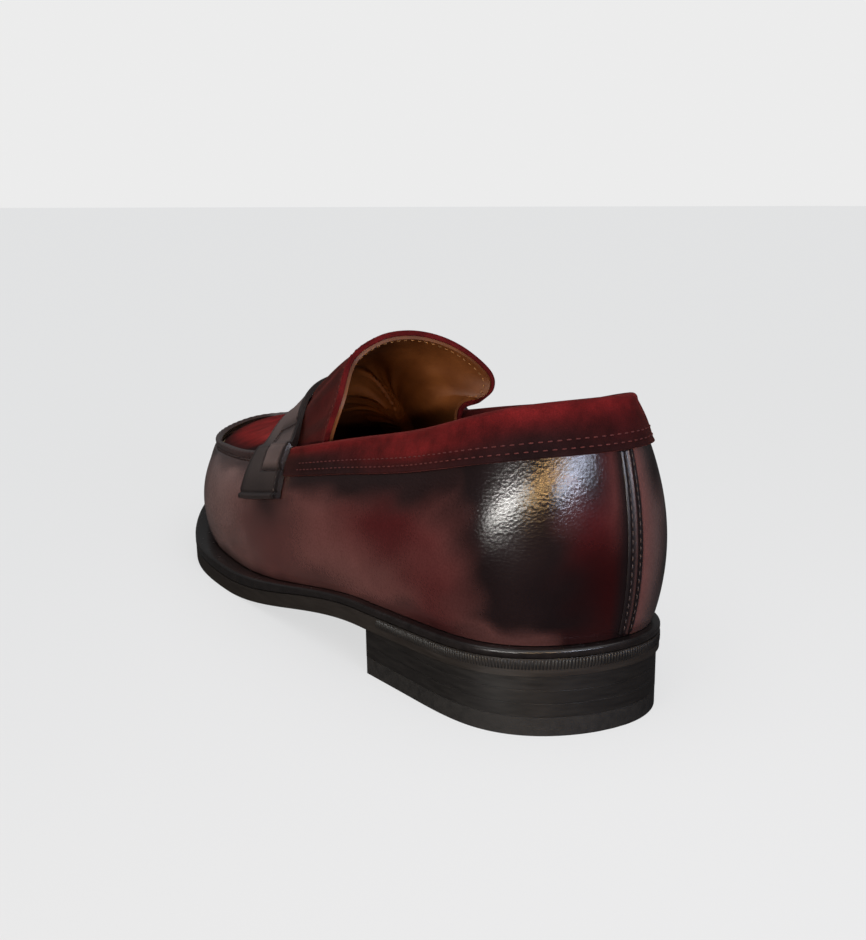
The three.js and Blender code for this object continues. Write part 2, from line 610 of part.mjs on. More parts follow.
// ---- collar: a suede band that caps the top edge and folds down inside
const COLLAR_ROWS = Math.round((COLLAR_TO - COLLAR_FROM) / BAND_STEP);
const COLLAR_OUTER_STEPS = 2;
const COLLAR_ROLL_STEPS = 5;
const COLLAR_INNER_STEPS = 2;
const COLLAR_STEPS = COLLAR_OUTER_STEPS + COLLAR_ROLL_STEPS + COLLAR_INNER_STEPS;
const COLLAR_RISE = [3.0, 1.7]; // height of the roll's outside and inside over the wall's top edge
const collarPoint = (i, j, side) => {
  const station = mixed([COLLAR_FROM, COLLAR_TO], i / COLLAR_ROWS);
  const crest = WALL_TOP_UNDER_COLLAR + 0.005;
  if (j <= COLLAR_OUTER_STEPS) {
    return wallPoint(station, mixed([COLLAR_BOTTOM, crest], j / COLLAR_OUTER_STEPS), COLLAR_OUTSIDE[side]);
  }
  if (j <= COLLAR_OUTER_STEPS + COLLAR_ROLL_STEPS) {
    const angle = (Math.PI * (j - COLLAR_OUTER_STEPS)) / COLLAR_ROLL_STEPS;
    const centre = (COLLAR_OUTSIDE[side] + COLLAR_INSIDE[side]) / 2;
    const reach = (COLLAR_OUTSIDE[side] - COLLAR_INSIDE[side]) / 2;
    const rolled = wallPoint(station, crest, centre + reach * Math.cos(angle));
    return rolled.addScaledVector(up, COLLAR_RISE[side] * Math.sin(angle));
  }
  const down = (j - COLLAR_OUTER_STEPS - COLLAR_ROLL_STEPS) / COLLAR_INNER_STEPS;
  const drop = (COLLAR_FOLD_DEPTH * down) / wallHeight(station);
  return wallPoint(station, crest - drop, COLLAR_INSIDE[side]);
};
addPiece("collar", sheetGeometry(COLLAR_ROWS, COLLAR_STEPS,
  (i, j) => collarPoint(i, j, 0),
  (i, j) => collarPoint(i, j, 1), FREE), RED_SUEDE, 0.95, 0);

// ---- instep: curves that bridge from the outer wall to the inner wall, g runs from throat to toe
const outerStation = (g) => THROAT_OUTER_STATION + (TOE_STATION - THROAT_OUTER_STATION) * g;
const innerStation = (g) => THROAT_INNER_STATION + (TOE_STATION - THROAT_INNER_STATION) * g;

// A smooth curve through evenly spaced values, read at a share of its length from 0 to 1.
function through(values, share) {
  const last = values.length - 1;
  const along = Math.min(last - 1e-6, Math.max(0, share * last));
  const i = Math.floor(along);
  const t = along - i;
  const at = (k) => values[Math.min(last, Math.max(0, k))];
  const slopeIn = (at(i + 1) - at(i - 1)) / 2;
  const slopeOut = (at(i + 2) - at(i)) / 2;
  const fromStart = 2 * t ** 3 - 3 * t ** 2 + 1;
  const leaving = t ** 3 - 2 * t ** 2 + t;
  const arriving = t ** 3 - t ** 2;
  return fromStart * at(i) + leaving * slopeIn + (1 - fromStart) * at(i + 1) + arriving * slopeOut;
}

const instepHeight = (g) => through(INSTEP_HEIGHTS, g);
const archShape = (s) => Math.max(0, 1 - (2 * s - 1) ** 2);

// Bridges from point a to point b, rising to the given height in the middle.
function bridge(a, b, s, height, fullness) {
  const crown = Math.max(0, height - (a.z + b.z) / 2);
  return a.clone().lerp(b, s).addScaledVector(up, crown * archShape(s) ** fullness);
}

const eased = (rise) => (rise + Math.hypot(rise, ARCH_EASE)) / 2;

// Leather pulled over both top edges: level beside them, then up over the arch of the instep.
function drape(a, b, g, s, height) {
  const base = (a.z + b.z) / 2;
  const seat = base - ARCH_DROP * (1 - smooth(ARCH_FADE[0], ARCH_FADE[1], g));
  const share = Math.min(1, Math.max(0, (s - ARCH_MARGIN) / (1 - 2 * ARCH_MARGIN)));
  const rise = seat - base + Math.max(0, height - seat) * archShape(share) ** INSTEP_FULLNESS;
  return a.clone().lerp(b, s).addScaledVector(up, eased(rise) - eased(seat - base));
}

// ---- apron: the suede top of the forepart, set below the rolled edge of the wall
const APRON_ROWS = 16;
const APRON_COLS = 12;
const apronPoint = (i, j, drop) => {
  const g = mixed([APRON_BACK, APRON_FRONT], i / APRON_ROWS);
  const a = wallSurface(outerStation(g), 1);
  const b = wallSurface(innerStation(g), 1);
  const inset = Math.min(APRON_MOST_INSET, APRON_EDGE_INSET / a.distanceTo(b));
  const s = inset + (1 - 2 * inset) * (j / APRON_COLS);
  return drape(a, b, g, s, instepHeight(g)).addScaledVector(up, -apronRecess(g) - drop);
};
addPiece("apron", sheetGeometry(APRON_ROWS, APRON_COLS,
  (i, j) => apronPoint(i, j, 0),
  (i, j) => apronPoint(i, j, APRON_THICKNESS), FREE), RED_SUEDE, 0.95, 0);

// ---- vamp lining: one bag of lining over the toes, from the insole up, across and down again
const VAMP_ROWS = 18;
const VAMP_WALL_STEPS = 3;
const VAMP_TOP_STEPS = 10;
const VAMP_COLS = 2 * VAMP_WALL_STEPS + VAMP_TOP_STEPS;
const vampLiningPoint = (i, j, offset) => {
  const g = VAMP_LINING_BACK + ((1 - VAMP_LINING_BACK) * i) / VAMP_ROWS;
  const sideOf = (station, step) => {
    const low = ABOVE_MARGIN / wallHeight(station);
    return wallPoint(station, low + ((LINING_TOP_FOREPART - low) * step) / VAMP_WALL_STEPS, offset);
  };
  if (j <= VAMP_WALL_STEPS) {
    return sideOf(outerStation(g), j);
  }
  if (j >= VAMP_WALL_STEPS + VAMP_TOP_STEPS) {
    return sideOf(innerStation(g), VAMP_COLS - j);
  }
  const a = sideOf(outerStation(g), VAMP_WALL_STEPS);
  const b = sideOf(innerStation(g), VAMP_WALL_STEPS);
  const blend = smooth(VAMP_LINING_BLEND[0], VAMP_LINING_BLEND[1], g);
  const height = instepHeight(g) - mixed(VAMP_LINING_DROP, blend) + (offset - LINING[0]);
  return bridge(a, b, (j - VAMP_WALL_STEPS) / VAMP_TOP_STEPS, height, mixed(VAMP_LINING_FULLNESS, blend));
};
addPiece("vamp_lining", sheetGeometry(VAMP_ROWS, VAMP_COLS,
  (i, j) => vampLiningPoint(i, j, LINING[0]),
  (i, j) => vampLiningPoint(i, j, LINING[1]), FOLDED), TAN_LINING, 0.6, 0);

// ---- tongue: suede outside and tan leather inside, lofted from its free rim to the instep
const TONGUE_ROWS = 8;
const TONGUE_COLS = 30;
const tongueArch = (g, s, offset) => {
  const a = wallPoint(outerStation(g), TONGUE_SEAT, offset);
  const b = wallPoint(innerStation(g), TONGUE_SEAT, offset);
  return bridge(a, b, s, instepHeight(g), INSTEP_FULLNESS);
};
const tongueSurface = (t, s) => {
  const rim = place(...[0, 1, 2].map((axis) => through(TONGUE_RIM.map((row) => row[axis]), s)));
  const bend = tongueArch(TONGUE_BEND, s, TONGUE_BEND_OFFSET);
  const root = tongueArch(TONGUE_FRONT, s, TONGUE_ROOT_OFFSET);
  return rim.multiplyScalar((1 - t) ** 2)
    .addScaledVector(bend, 2 * t * (1 - t))
    .addScaledVector(root, t ** 2);
};
const tonguePoint = (i, j, depth) => {
  const t = i / TONGUE_ROWS;
  const s = j / TONGUE_COLS;
  const tSafe = Math.min(0.97, Math.max(0.03, t));
  const sSafe = Math.min(0.99, Math.max(0.01, s));
  const normal = outward(tongueSurface, tSafe, sSafe, 0.03, 0.01);
  const inward = outward(tongueSurface, 0.5, 0.5, 0.03, 0.01).z < 0 ? 1 : -1;
  return tongueSurface(t, s).addScaledVector(normal, inward * depth);
};
addPiece("tongue", sheetGeometry(TONGUE_ROWS, TONGUE_COLS,
  (i, j) => tonguePoint(i, j, TONGUE_SUEDE[0]),
  (i, j) => tonguePoint(i, j, TONGUE_SUEDE[1]), FREE), RED_SUEDE, 0.95, 0);
addPiece("tongue_lining", sheetGeometry(TONGUE_ROWS, TONGUE_COLS,
  (i, j) => tonguePoint(i, j, TONGUE_LINING[0]),
  (i, j) => tonguePoint(i, j, TONGUE_LINING[1]), FREE), TAN_LINING, 0.6, 0);

// ---- saddle strap: lies over the instep and ends in a wing on each side of the wall
const STRAP_ROWS = 5;
const STRAP_COLS = 30;
const strapSurface = (f, c) => {
  const onTop = (c - STRAP_WALL_SHARE) / (1 - 2 * STRAP_WALL_SHARE);
  const sweep = Math.sin(Math.PI * Math.min(1, Math.max(0, onTop)));
  const back = STRAP_BACK_EDGE[0] + STRAP_BACK_EDGE[1] * sweep;
  const front = STRAP_FRONT_EDGE[0] + STRAP_FRONT_EDGE[1] * sweep;
  const g = back + (front - back) * f;
  const wingBottom = STRAP_WING_BOTTOM_BACK + (STRAP_WING_BOTTOM_FRONT - STRAP_WING_BOTTOM_BACK) * f;
  if (onTop <= 0) {
    return wallSurface(outerStation(g), wingBottom + (1 - wingBottom) * (c / STRAP_WALL_SHARE));
  }
  if (onTop >= 1) {
    return wallSurface(innerStation(g), wingBottom + (1 - wingBottom) * ((1 - c) / STRAP_WALL_SHARE));
  }
  const a = wallSurface(outerStation(g), 1);
  const b = wallSurface(innerStation(g), 1);
  return drape(a, b, g, onTop, instepHeight(g) + STRAP_LIFT);
};
const strapUpwards = outward(strapSurface, 0.5, 0.5, 0.05, 0.03).z > 0 ? 1 : -1;
const strapPoint = (i, j, offset) => {
  const f = i / STRAP_ROWS;
  const c = j / STRAP_COLS;
  const fSafe = Math.min(0.95, Math.max(0.05, f));
  const cSafe = Math.min(0.97, Math.max(0.03, c));
  const normal = outward(strapSurface, fSafe, cSafe, 0.05, 0.03);
  return strapSurface(f, c).addScaledVector(normal, offset * strapUpwards);
};
const strapSheet = sheetGeometry(STRAP_ROWS, STRAP_COLS,
  (i, j) => strapPoint(i, j, STRAP[0]),
  (i, j) => strapPoint(i, j, STRAP[1]), FREE);

// The slot in the middle of the strap is a lens, wider across the foot than along it.
const SLOT_TOOL_HEIGHT = 40;
const strapMiddle = strapSurface(0.5, 0.5);
const slotOutline = new THREE.Shape();
slotOutline.moveTo(-SLOT_HALF_WIDTH, 0);
slotOutline.quadraticCurveTo(0, SLOT_HALF_LENGTH * 2, SLOT_HALF_WIDTH, 0);
slotOutline.quadraticCurveTo(0, -SLOT_HALF_LENGTH * 2, -SLOT_HALF_WIDTH, 0);
const slotTool = new THREE.ExtrudeGeometry(slotOutline, {
  depth: SLOT_TOOL_HEIGHT,
  bevelEnabled: false,
  curveSegments: 8,
});
slotTool.translate(strapMiddle.x, strapMiddle.y, strapMiddle.z - SLOT_TOOL_HEIGHT / 2);
addPiece("saddle_strap", cut(strapSheet, [slotTool]), DARK_LEATHER, 0.35, 0);

// ---- slot backing: the leather seen through the slot, under the strap and over the instep
const BACKING_ROWS = 4;
const BACKING_COLS = 8;
const backingPoint = (i, j, offset) => {
  const g = mixed(BACKING_ALONG, i / BACKING_ROWS);
  const s = mixed(BACKING_ACROSS, j / BACKING_COLS);
  const a = wallSurface(outerStation(g), 1);
  const b = wallSurface(innerStation(g), 1);
  return drape(a, b, g, s, instepHeight(g) + STRAP_LIFT).addScaledVector(up, offset);
};
addPiece("slot_backing", sheetGeometry(BACKING_ROWS, BACKING_COLS,
  (i, j) => backingPoint(i, j, BACKING[0]),
  (i, j) => backingPoint(i, j, BACKING[1]), FREE), DARK_LEATHER, 0.6, 0);

export default loafer;
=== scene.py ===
# %% [markdown]
# # A penny loafer, left foot
# The shoe is built the way a shoemaker builds it: everything hangs on one last. The last here is a
# closed ring of stations round the sole edge. Each station says how far along and across the foot it
# lies, how wide the welt is, how high the wall stands, and how the wall leans and swells. Every
# leather piece is then a sheet laid on that shape at its own distance from it, so the pieces fit each
# other without any fitting by hand.

# %% load the frame
import math
import bmesh
import bpy
import numpy as np
from mathutils import Matrix, Vector


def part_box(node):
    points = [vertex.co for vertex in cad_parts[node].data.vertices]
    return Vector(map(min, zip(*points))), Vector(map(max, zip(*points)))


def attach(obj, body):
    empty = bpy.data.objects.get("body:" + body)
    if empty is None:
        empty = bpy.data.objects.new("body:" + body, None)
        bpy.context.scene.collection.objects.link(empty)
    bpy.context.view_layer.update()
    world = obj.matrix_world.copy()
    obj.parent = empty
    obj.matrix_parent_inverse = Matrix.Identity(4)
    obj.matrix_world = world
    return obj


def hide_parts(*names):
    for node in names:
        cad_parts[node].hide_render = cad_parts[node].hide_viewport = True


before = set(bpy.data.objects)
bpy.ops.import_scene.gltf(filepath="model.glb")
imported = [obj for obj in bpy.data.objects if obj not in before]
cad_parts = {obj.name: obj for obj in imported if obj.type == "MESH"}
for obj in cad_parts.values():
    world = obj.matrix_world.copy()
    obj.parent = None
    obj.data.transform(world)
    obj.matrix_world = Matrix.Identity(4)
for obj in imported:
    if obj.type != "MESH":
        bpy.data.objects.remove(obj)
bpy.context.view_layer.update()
MM = 0.001

# %% [markdown]
# ## The last
# One row per station, in millimetres: along the foot from the heel, across it, welt width, height of
# the wall's top edge, how far the wall leans in, how far it swells out, and how round its shoulder is
# (0 to 1). Station 0 is the middle of the heel, 1 to 11 run up the outer side, 12 is the toe and 13 to
# 21 come back down the inner side. A cubic spline through the rows gives a smooth ring. A table was
# chosen over a sculpted mesh because each number is something a last maker could measure.

# %% station table
STATIONS = np.array([
    [0.0, 0.0, 3.0, 92.0, 6.0, 4.5, 0.1],
    [3.9, 22.7, 3.2, 91.4, 4.1, 4.5, 0.1],
    [20.8, 38.8, 3.2, 87.7, 2.0, 3.9, 0.1],
    [49.3, 44.6, 3.0, 79.5, 3.0, 4.2, 0.1],
    [82.0, 48.7, 3.0, 72.0, 2.5, 4.0, 0.1],
    [115.8, 52.6, 3.5, 64.0, 1.5, 4.5, 0.2],
    [149.8, 55.0, 5.0, 57.0, 4.5, 4.5, 0.3],
    [183.8, 57.3, 6.5, 51.2, 7.0, 3.5, 0.4],
    [215.9, 55.5, 7.0, 48.4, 7.0, 4.2, 0.5],
    [246.0, 46.2, 7.0, 45.2, 4.4, 2.6, 0.5],
    [271.2, 32.1, 7.0, 44.6, 1.5, 3.2, 0.5],
    [291.2, 11.6, 7.0, 46.0, 3.0, 2.0, 0.5],
    [299.0, -11.5, 6.5, 46.0, 6.5, 2.0, 0.5],
    [284.5, -33.7, 6.0, 48.4, 8.8, 2.0, 0.5],
    [251.2, -40.9, 5.5, 52.5, 9.0, 2.5, 0.5],
    [212.1, -36.3, 5.0, 58.0, 8.0, 3.5, 0.4],
    [170.3, -26.1, 4.0, 64.5, 4.0, 5.0, 0.3],
    [132.0, -19.3, 3.0, 68.4, 0.0, 5.5, 0.2],
    [95.5, -18.4, 3.0, 75.1, 0.0, 5.5, 0.1],
    [60.8, -23.3, 3.0, 81.4, 1.0, 4.7, 0.1],
    [30.8, -24.5, 2.5, 87.9, 7.3, 4.2, 0.1],
    [9.6, -17.3, 2.5, 91.2, 8.0, 4.9, 0.1],
])
ALONG, SIDE, WELT_WIDTH, TOP_HEIGHT, LEAN_IN, SWELL, ROUNDNESS = range(7)
RING = len(STATIONS)
TOE_STATION = 11.9

controls = STATIONS.copy()
for _ in range(40):
    controls = (6 * STATIONS - np.roll(controls, 1, 0) - np.roll(controls, -1, 0)) / 4


def on_ring(column, station):
    station = np.asarray(station, float) % RING
    first = np.floor(station).astype(int)
    f = station - first
    weights = [(1 - f) ** 3, 3 * f ** 3 - 6 * f ** 2 + 4, -3 * f ** 3 + 3 * f ** 2 + 3 * f + 1, f ** 3]
    return sum(w / 6 * controls[(first + j - 1) % RING, column] for j, w in enumerate(weights))


def smooth(start, end, value):
    t = np.clip((np.asarray(value, float) - start) / (end - start), 0, 1)
    return t * t * (3 - 2 * t)


def bump(centre, width, value):
    return np.exp(-((np.asarray(value, float) - centre) / width) ** 2)


print("ring of", RING, "stations, longest at", STATIONS[:, ALONG].max(), "mm")

# %% [markdown]
# ## Heights of the sole
# The underside stands on the heel block, drops in a soft S behind the ball of the foot, lies flat on
# the ground under the ball and springs up at the toe. One function of the distance along the foot
# gives it, and a second adds the thickness of outsole and welt. The same numbers made the solid
# model, so the detailed pieces land exactly on it.

# %% sole heights and the frame of the part
HEEL_REST_HEIGHT, HEEL_SLOPE_DROP, HEEL_BREAST = 18.0, 3.1, 73.0
FLAT_FROM, FLAT_TO, TOE_SPRING, LAST_LENGTH = 177.0, 203.0, 11.2, 298.0
OUTSOLE_THICKNESS, EDGE_WAIST, EDGE_FOREPART, GAP = 5.0, 7.6, 9.0, 0.3


def underside(along):
    along = np.asarray(along, float)
    s = np.clip((along - HEEL_BREAST) / (FLAT_FROM - HEEL_BREAST), 0, 1)
    slope = HEEL_SLOPE_DROP * np.clip(along / HEEL_BREAST, 0, 1)
    spring = np.maximum(0, (along - FLAT_TO) / (LAST_LENGTH - FLAT_TO))
    return (HEEL_REST_HEIGHT - slope) * (1 - s * s * (3 - 2 * s)) + TOE_SPRING * spring ** 2


def welt_top(along):
    return underside(along) + EDGE_WAIST + (EDGE_FOREPART - EDGE_WAIST) * smooth(90, 170, along)


def edge_point(station, inset):
    step = 0.02
    da = on_ring(ALONG, station + step) - on_ring(ALONG, station - step)
    ds = on_ring(SIDE, station + step) - on_ring(SIDE, station - step)
    length = np.hypot(da, ds)
    return on_ring(ALONG, station) + ds / length * inset, on_ring(SIDE, station) - da / length * inset


footprint = edge_point(np.arange(1200) * RING / 1200, 0)
BACK_OVERHANG = 1.5
MIDDLE_ALONG = (footprint[0].min() - BACK_OVERHANG + footprint[0].max()) / 2
MIDDLE_SIDE = (footprint[1].min() + footprint[1].max()) / 2


def place(along, side, height):
    along, side, height = np.broadcast_arrays(along, side, height)
    return np.stack([side - MIDDLE_SIDE, MIDDLE_ALONG - along, height], -1)


sole_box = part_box("outsole")
print("sole edge, made and packed:", round(footprint[0].max() - footprint[0].min(), 1),
      round((sole_box[1][1] - sole_box[0][1]) / MM, 1))

# %% [markdown]
# ## The wall's surface
# A point of the shoe's outside is found from its station and its height v, 0 at the welt and 1 at the
# top edge. `wall_point` moves it outward or inward along the surface's own normal, which is how each
# layer, lining, stiffener, leather, collar and strap, gets its place.

# %% surface functions


def wall_surface(station, v):
    station, v = np.broadcast_arrays(np.asarray(station, float), np.asarray(v, float))
    welt = on_ring(WELT_WIDTH, station)
    base = welt_top(edge_point(station, welt)[0])
    r = on_ring(ROUNDNESS, station)
    rise = (on_ring(TOP_HEIGHT, station) - base) * ((1 - r) * v + r * np.sin(np.pi * v / 2))
    lean = (1 - r) * v * v + r * (1 - np.cos(np.pi * v / 2))
    swell = on_ring(SWELL, station) * np.sin(np.pi * np.maximum(v, 0) ** 0.85)
    along, side = edge_point(station, welt + on_ring(LEAN_IN, station) * lean - swell)
    return place(along, side, base + rise)


def normal_of(surface, a, b, step_a, step_b):
    along_a = surface(a + step_a, b) - surface(a - step_a, b)
    along_b = surface(a, b + step_b) - surface(a, b - step_b)
    across = np.cross(along_a, along_b)
    return across / np.linalg.norm(across, axis=-1, keepdims=True)


OUT_SIGN = 1.0 if normal_of(wall_surface, 3.0, 0.5, 0.05, 0.03)[0] > 0 else -1.0


def wall_normal(station, v):
    station, v = np.broadcast_arrays(np.asarray(station, float), np.asarray(v, float))
    return OUT_SIGN * normal_of(wall_surface, station, np.clip(v, 0.03, 0.985), 0.05, 0.03)


def wall_point(station, v, offset):
    return wall_surface(station, v) + wall_normal(station, v) * np.asarray(offset, float)[..., None]


def wall_height(station):
    return wall_surface(station, 1.0)[..., 2] - wall_surface(station, 0.0)[..., 2]


print("wall height at heel, waist and toe:", [round(float(wall_height(k)), 1) for k in (0, 5, 12)])

# %% [markdown]
# ## Turning grids into pieces
# A sheet of leather is two grids of points, its face and its back, joined round the rim. `sheet`
# builds that as one closed mesh, rounds its cut edges with a small bevel, gives it its material, hangs
# it on the body it rides on and hides the plain solid it stands for.

# %% mesh helpers
SHARP_ANGLE = math.radians(50)


def add_mesh(name, points, faces, material, replaces=(), bevel=0.0, paint=None):
    mesh = bpy.data.meshes.new(name)
    mesh.from_pydata((np.asarray(points) * MM).tolist(), [], faces)
    if paint is not None:
        layer = mesh.color_attributes.new("tint", "FLOAT_COLOR", "POINT")
        layer.data.foreach_set("color", np.asarray(paint, float).ravel())
    work = bmesh.new()
    work.from_mesh(mesh)
    bmesh.ops.remove_doubles(work, verts=work.verts, dist=2e-6)
    bmesh.ops.dissolve_degenerate(work, edges=work.edges, dist=1e-7)
    bmesh.ops.recalc_face_normals(work, faces=work.faces)
    for face in work.faces:
        face.smooth = True
    if bevel:
        for edge in work.edges:
            edge.smooth = edge.is_manifold and edge.calc_face_angle() < SHARP_ANGLE
    work.to_mesh(mesh)
    work.free()
    piece = bpy.data.objects.new(name, mesh)
    bpy.context.scene.collection.objects.link(piece)
    piece.data.materials.append(material)
    if bevel:
        rounding = piece.modifiers.new("rounded_edges", "BEVEL")
        rounding.width = bevel * MM
        rounding.segments = 3
        rounding.limit_method = "ANGLE"
        rounding.angle_limit = SHARP_ANGLE
        rounding.harden_normals = False
    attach(piece, "root")
    if replaces:
        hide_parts(*replaces)
    return piece


def grid_faces(rows, cols, start, ringed, flip):
    i, j = np.meshgrid(np.arange(rows if ringed else rows - 1), np.arange(cols - 1), indexing="ij")
    a = start + i * cols + j
    b = start + ((i + 1) % rows) * cols + j
    quads = np.stack([a, b, b + 1, a + 1], -1).reshape(-1, 4)
    return quads[:, ::-1] if flip else quads


def strip_faces(one, two):
    one, two = np.asarray(one), np.asarray(two)
    return np.stack([one[:-1], one[1:], two[1:], two[:-1]], -1)


def sheet(name, face, back, material, replaces=(), ringed=False, folded=False, bevel=0.0, paint=None):
    rows, cols = face.shape[:2]
    count = rows * cols
    numbers = np.arange(count).reshape(rows, cols)
    faces = [grid_faces(rows, cols, 0, ringed, False), grid_faces(rows, cols, count, ringed, True)]
    for j in (0, cols - 1):
        line = np.append(numbers[:, j], numbers[0, j]) if ringed else numbers[:, j]
        faces.append(strip_faces(line, line + count))
    if not ringed:
        for i in (0,) if folded else (0, rows - 1):
            faces.append(strip_faces(numbers[i], numbers[i] + count))
    points = np.concatenate([face.reshape(-1, 3), back.reshape(-1, 3)])
    colours = None if paint is None else np.concatenate([paint.reshape(-1, 4)] * 2)
    return add_mesh(name, points, np.concatenate(faces).tolist(), material, replaces, bevel, colours)


# %% [markdown]
# ## Stitching
# Every seam is sewn with real stitches: short, slightly plump lengths of thread whose ends dive into
# the leather. They are small lofted beads laid along a path at an even pitch. Real geometry was
# chosen over a bump texture because the light catches the thread's top and shades its ends.

# %% stitch helper
SPINE_STEPS, THREAD_SIDES = 7, 6


def resample(points, pitch):
    steps = np.linalg.norm(np.diff(points, axis=0), axis=1)
    length = np.concatenate([[0], np.cumsum(steps)])
    marks = np.arange(pitch / 2, length[-1], pitch)
    return marks, length


def stitches(name, points, normals, material, pitch, length, radius, sink=0.35):
    marks, run = resample(points, pitch)
    t = np.linspace(-1, 1, SPINE_STEPS)
    around = np.linspace(0, 2 * np.pi, THREAD_SIDES + 1)[:-1, None]
    all_points, all_faces = [], []
    for mark in marks:
        at = mark + t * length / 2
        spine = np.stack([np.interp(at, run, points[:, k]) for k in range(3)], -1)
        up = np.array([np.interp(mark, run, normals[:, k]) for k in range(3)])
        up /= np.linalg.norm(up)
        forward = spine[-1] - spine[0]
        forward /= np.linalg.norm(forward) + 1e-9
        cross = np.cross(up, forward)
        spine = spine + up * (radius * 0.35 - sink * t ** 4)[:, None]
        size = radius * np.sqrt(np.maximum(0.06, 1 - t ** 4))
        ring = (np.cos(around) * cross + np.sin(around) * up) * size[:, None, None]
        start = len(all_points) * SPINE_STEPS * THREAD_SIDES
        end = start + (SPINE_STEPS - 1) * THREAD_SIDES
        all_points.append((spine[:, None, :] + ring).reshape(-1, 3))
        for first in range(start, end, THREAD_SIDES):
            for k in range(THREAD_SIDES):
                a, b = first + k, first + (k + 1) % THREAD_SIDES
                all_faces.append([a, b, b + THREAD_SIDES, a + THREAD_SIDES])
        all_faces.append([start + k for k in reversed(range(THREAD_SIDES))])
        all_faces.append([end + k for k in range(THREAD_SIDES)])
    add_mesh(name, np.concatenate(all_points), all_faces, material)
    print(name, len(marks), "stitches")


# %% [markdown]
# ## Materials: how leather, suede, edge and thread are told apart
# Smooth leather is a dark skin with a fine pebbled grain and a waxed shine that is stronger where it
# has been burnished. Its patina, from wine red to nearly black, is painted on the points of each
# piece as a tint, together with some painted highlights, painted reflection and painted shade, and
# only broken up by noise in the material. Suede is the same hide with its nap up: no shine, a soft
# sheen at glancing angles and cloudy light and dark where the nap lies differently.

# %% node helpers


def new_material(name):
    material = bpy.data.materials.new(name)
    material.use_nodes = True
    tree = material.node_tree
    shader = tree.nodes["Principled BSDF"]
    coordinates = tree.nodes.new("ShaderNodeTexCoord")
    return material, tree, shader, coordinates.outputs["Object"]


def noise(tree, vector, scale, detail=3.0, roughness=0.5):
    node = tree.nodes.new("ShaderNodeTexNoise")
    node.inputs["Scale"].default_value = scale
    node.inputs["Detail"].default_value = detail
    node.inputs["Roughness"].default_value = roughness
    tree.links.new(vector, node.inputs["Vector"])
    return node.outputs["Fac"]


def cells(tree, vector, scale, feature="F1"):
    node = tree.nodes.new("ShaderNodeTexVoronoi")
    node.feature = feature
    node.inputs["Scale"].default_value = scale
    tree.links.new(vector, node.inputs["Vector"])
    return node.outputs["Distance"]


def ramp(tree, value, stops):
    node = tree.nodes.new("ShaderNodeValToRGB")
    while len(node.color_ramp.elements) < len(stops):
        node.color_ramp.elements.new(0.5)
    for element, (position, colour) in zip(node.color_ramp.elements, stops):
        element.position = position
        element.color = (*colour, 1.0)
    tree.links.new(value, node.inputs["Fac"])
    return node.outputs["Color"]


def mix(tree, kind, factor, one, two):
    node = tree.nodes.new("ShaderNodeMix")
    node.data_type = "RGBA"
    node.blend_type = kind
    for socket, value in ((node.inputs["Factor"], factor), (node.inputs["A"], one), (node.inputs["B"], two)):
        if isinstance(value, (float, int)):
            socket.default_value = value
        elif isinstance(value, tuple):
            socket.default_value = (*value, 1.0)
        else:
            tree.links.new(value, socket)
    return node.outputs["Result"]


def maths(tree, kind, one, two):
    node = tree.nodes.new("ShaderNodeMath")
    node.operation = kind
    for socket, value in zip(node.inputs, (one, two)):
        if isinstance(value, (float, int)):
            socket.default_value = value
        else:
            tree.links.new(value, socket)
    return node.outputs["Value"]


def raise_grain(tree, shader, height, strength, distance):
    node = tree.nodes.new("ShaderNodeBump")
    node.inputs["Strength"].default_value = strength
    node.inputs["Distance"].default_value = distance
    tree.links.new(height, node.inputs["Height"])
    tree.links.new(node.outputs["Normal"], shader.inputs["Normal"])
    return node


def tint_of(tree):
    node = tree.nodes.new("ShaderNodeAttribute")
    node.attribute_name = "tint"
    return node.outputs["Color"]


# %% [markdown]
# ### Burnished leather
# The wall and the strap share one recipe. The grain is two sizes of cell noise, the size of real
# pores, raised by a few hundredths of a millimetre. The shine is set by a mild roughness that noise
# varies, with a thin wax coat on top.

# %% smooth leather


def burnished_leather(name, grain_depth, low_shine, high_shine, coat):
    material, tree, shader, where = new_material(name)
    tint = tint_of(tree)
    cloud = noise(tree, where, 45.0, 4.0)
    cloudy = ramp(tree, cloud, [(0.3, (0.62, 0.58, 0.58)), (0.72, (1.25, 1.2, 1.2))])
    mottled = mix(tree, "MULTIPLY", 0.55, tint, cloudy)
    pores = noise(tree, where, 1500.0, 2.0)
    pored = ramp(tree, pores, [(0.35, (0.6, 0.55, 0.55)), (0.6, (1.1, 1.1, 1.1))])
    skin = mix(tree, "MULTIPLY", 0.35, mottled, pored)
    tree.links.new(skin, shader.inputs["Base Color"])
    worn = ramp(tree, cloud, [(0.25, (low_shine,) * 3), (0.75, (high_shine,) * 3)])
    tree.links.new(worn, shader.inputs["Roughness"])
    pebble = cells(tree, where, 1150.0)
    fine = noise(tree, where, 2600.0, 3.0, 0.6)
    height = maths(tree, "ADD", pebble, maths(tree, "MULTIPLY", fine, 0.7))
    raise_grain(tree, shader, height, 0.6, grain_depth * MM)
    shader.inputs["Specular IOR Level"].default_value = 0.3
    shader.inputs["Coat Weight"].default_value = coat
    shader.inputs["Coat Roughness"].default_value = 0.16
    return material


wall_leather = burnished_leather("wall_leather", 0.055, 0.13, 0.23, 0.06)
strap_leather = burnished_leather("strap_leather", 0.05, 0.32, 0.44, 0.05)

# %% [markdown]
# ### Suede
# The nap is a fine fibre noise with larger clouds over it. The sheen lobe gives the soft pale edge
# that suede shows where it turns away.

# %% suede


